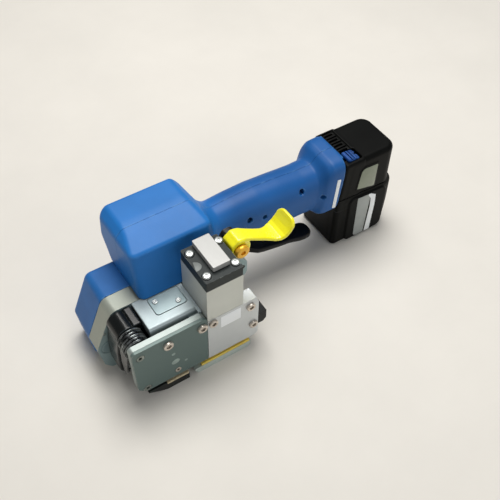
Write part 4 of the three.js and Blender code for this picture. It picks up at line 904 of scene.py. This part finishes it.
HIDDEN = {"housing_near": "blue", "housing_far": "blue", "belt_cover": "blue_cover", "rocker": "black_cast", "torsion_spring": "spring", "weld_lever": "yellow",
          "lever_hub_bolt": "hub", "rocker_lever": "black_lever", "battery_case": "black_case", "battery_latch": "blue_latch", "tension_button": "black_lever"}
for n, o in nodes.items():
    if n in CAD:
        cad(n, M[CAD[n][0]], CAD[n][1])
    else:
        key = HIDDEN.get(n, "screw")
        for sl in o.material_slots:
            sl.material = M[key]
        if not o.material_slots:
            o.data.materials.append(M[key])

# ------------------------------------------------------------------ small surface pieces
def plaque(name, outline, plane, at, t, mat, body, r=0.6, out=-1, inset=None):
    """Thin plate with rounded outline on a flat face. plane 'y': outline in (x, z), face at y = at, standing out along out."""
    import bmesh
    pts = round_poly(outline, [r] * len(outline) if not isinstance(r, (list, tuple)) else r, 5)
    bm = bmesh.new()
    sign = out
    if plane == "y":
        lay = lambda q, d: (q[0] * MM, (at + sign * d) * MM, q[1] * MM)
    else:
        lay = lambda q, d: (q[0] * MM, q[1] * MM, (at + sign * d) * MM)
    a = [bm.verts.new(lay(q, -0.15)) for q in pts]
    b = [bm.verts.new(lay(q, t)) for q in pts]
    bm.faces.new(a); bm.faces.new(b[::-1])
    for i in range(len(pts)):
        k = (i + 1) % len(pts)
        bm.faces.new((a[k], a[i], b[i], b[k]))
    bmesh.ops.recalc_face_normals(bm, faces=bm.faces[:])
    rim = [e for e in bm.edges if e.verts[0] in b and e.verts[1] in b]
    bmesh.ops.bevel(bm, geom=rim, offset=min(0.12, t * 0.4) * MM, segments=2, affect="EDGES", profile=0.5)
    me = bpy.data.meshes.new(name); bm.to_mesh(me); bm.free()
    ob = bpy.data.objects.new(name, me); scene.collection.objects.link(ob)
    me.materials.append(mat)
    smooth_by_angle(ob, 40)
    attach(ob, body)
    return ob


def ellipse(cx, cy, a, b, rot=0.0, n=28, t0=0.0, t1=2 * math.pi):
    full = abs(t1 - t0 - 2 * math.pi) < 1e-6
    k = n if full else n + 1
    out = []
    for i in range(k):
        t = t0 + (t1 - t0) * i / n
        x, y = a * math.cos(t), b * math.sin(t)
        out.append((cx + x * math.cos(rot) - y * math.sin(rot), cy + x * math.sin(rot) + y * math.cos(rot)))
    return out


# blank plates and labels: battery window and label, collar strip, sticker
plaque("battery_window_frame", [(219.8, 101.6), (224.6, 106.0), (245.0, 104.4), (244.6, 68.8), (217.0, 75.4)][::-1], "y", 36.0, 0.45, M["black_case"], "battery", 2.2)
plaque("battery_window", [(221.0, 92.0), (222.4, 100.4), (225.6, 103.4), (243.0, 102.2), (242.6, 71.4), (219.2, 77.0)][::-1], "y", 35.6, 0.45, M["window"], "battery", [1.4, 1.4, 1.4, 3, 3, 4])
plaque("battery_label", [(221.5, 63.0), (238.4, 61.8), (239.0, 54.0), (236.6, 3.0), (222.6, 3.0)][::-1], "y", 33.8, 0.22, M["label_silver"], "battery", [0.4, 0.4, 0.4, 0.4, 5.0][::-1])
plaque("battery_label_band", [(239.6, 61.6), (246.4, 57.0), (247.2, 42.0), (245.6, 3.0), (238.4, 3.0), (240.6, 42.0), (240.0, 54.0), (236.0, 60.6), (236.0, 62.3)][::-1], "y", 33.8, 0.34, M["white"], "battery", 0.5)
plaque("collar_label", [(190.4, 105.0), (194.8, 104.0), (192.0, 65.0), (187.6, 66.0)][::-1], "y", 35.75, 0.35, M["white"], "tool_body", 0.8)
plaque("front_sticker", [(14.0, 72.2), (35.8, 72.2), (35.8, 56.0), (14.0, 56.0)][::-1], "y", -25.0, 0.15, M["white"], "tool_body", 0.8)
plaque("side_mark_oval", ellipse(-35.3, 39.5, 4.3, 3.4, 0.25), "y", -25.0, 0.08, M["mark"], "tool_body", 0)
plaque("side_mark_dot", ellipse(-36.8, 52.8, 1.9, 1.7), "y", -25.0, 0.08, M["mark"], "tool_body", 0)
plaque("side_mark_dot_2", ellipse(-24.5, 33.6, 1.6, 1.4), "y", -25.0, 0.06, M["mark"], "tool_body", 0)
plaque("cap_inlay", ellipse(1.2, -3.0, 6.4, 5.4, -0.25, 22, -math.pi / 2, math.pi / 2), "z", 130.5, 0.12, M["cap_inlay"], "tool_body", 0, out=1)

# round boss with a groove on the near face of the main frame
V, F = lathe([(0, -1.2), (9.6, -1.2), (9.6, 0.18), (9.35, 0.3), (8.2, 0.3), (8.0, 0.15), (7.9, -0.7), (6.9, -0.7), (6.8, 0.15), (6.6, 0.3), (0, 0.32)], "-y", (-78.4, 34.0), 56)
V[:, 1] += 26.0
ob = to_object("frame_boss", V, F, M["boss"]); smooth_by_angle(ob, 35)
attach(ob, "tool_body")
V, F = lathe([(0, -1.0), (1.7, -1.0), (1.7, 0.1), (1.5, 0.25), (0.9, 0.25), (0.8, -0.6), (0, -0.65)], "-y", (-80.6, 55.6), 28)
V[:, 1] += 26.0
ob = to_object("frame_hole", V, F, M["screw_dark"]); smooth_by_angle(ob, 35)
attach(ob, "tool_body")
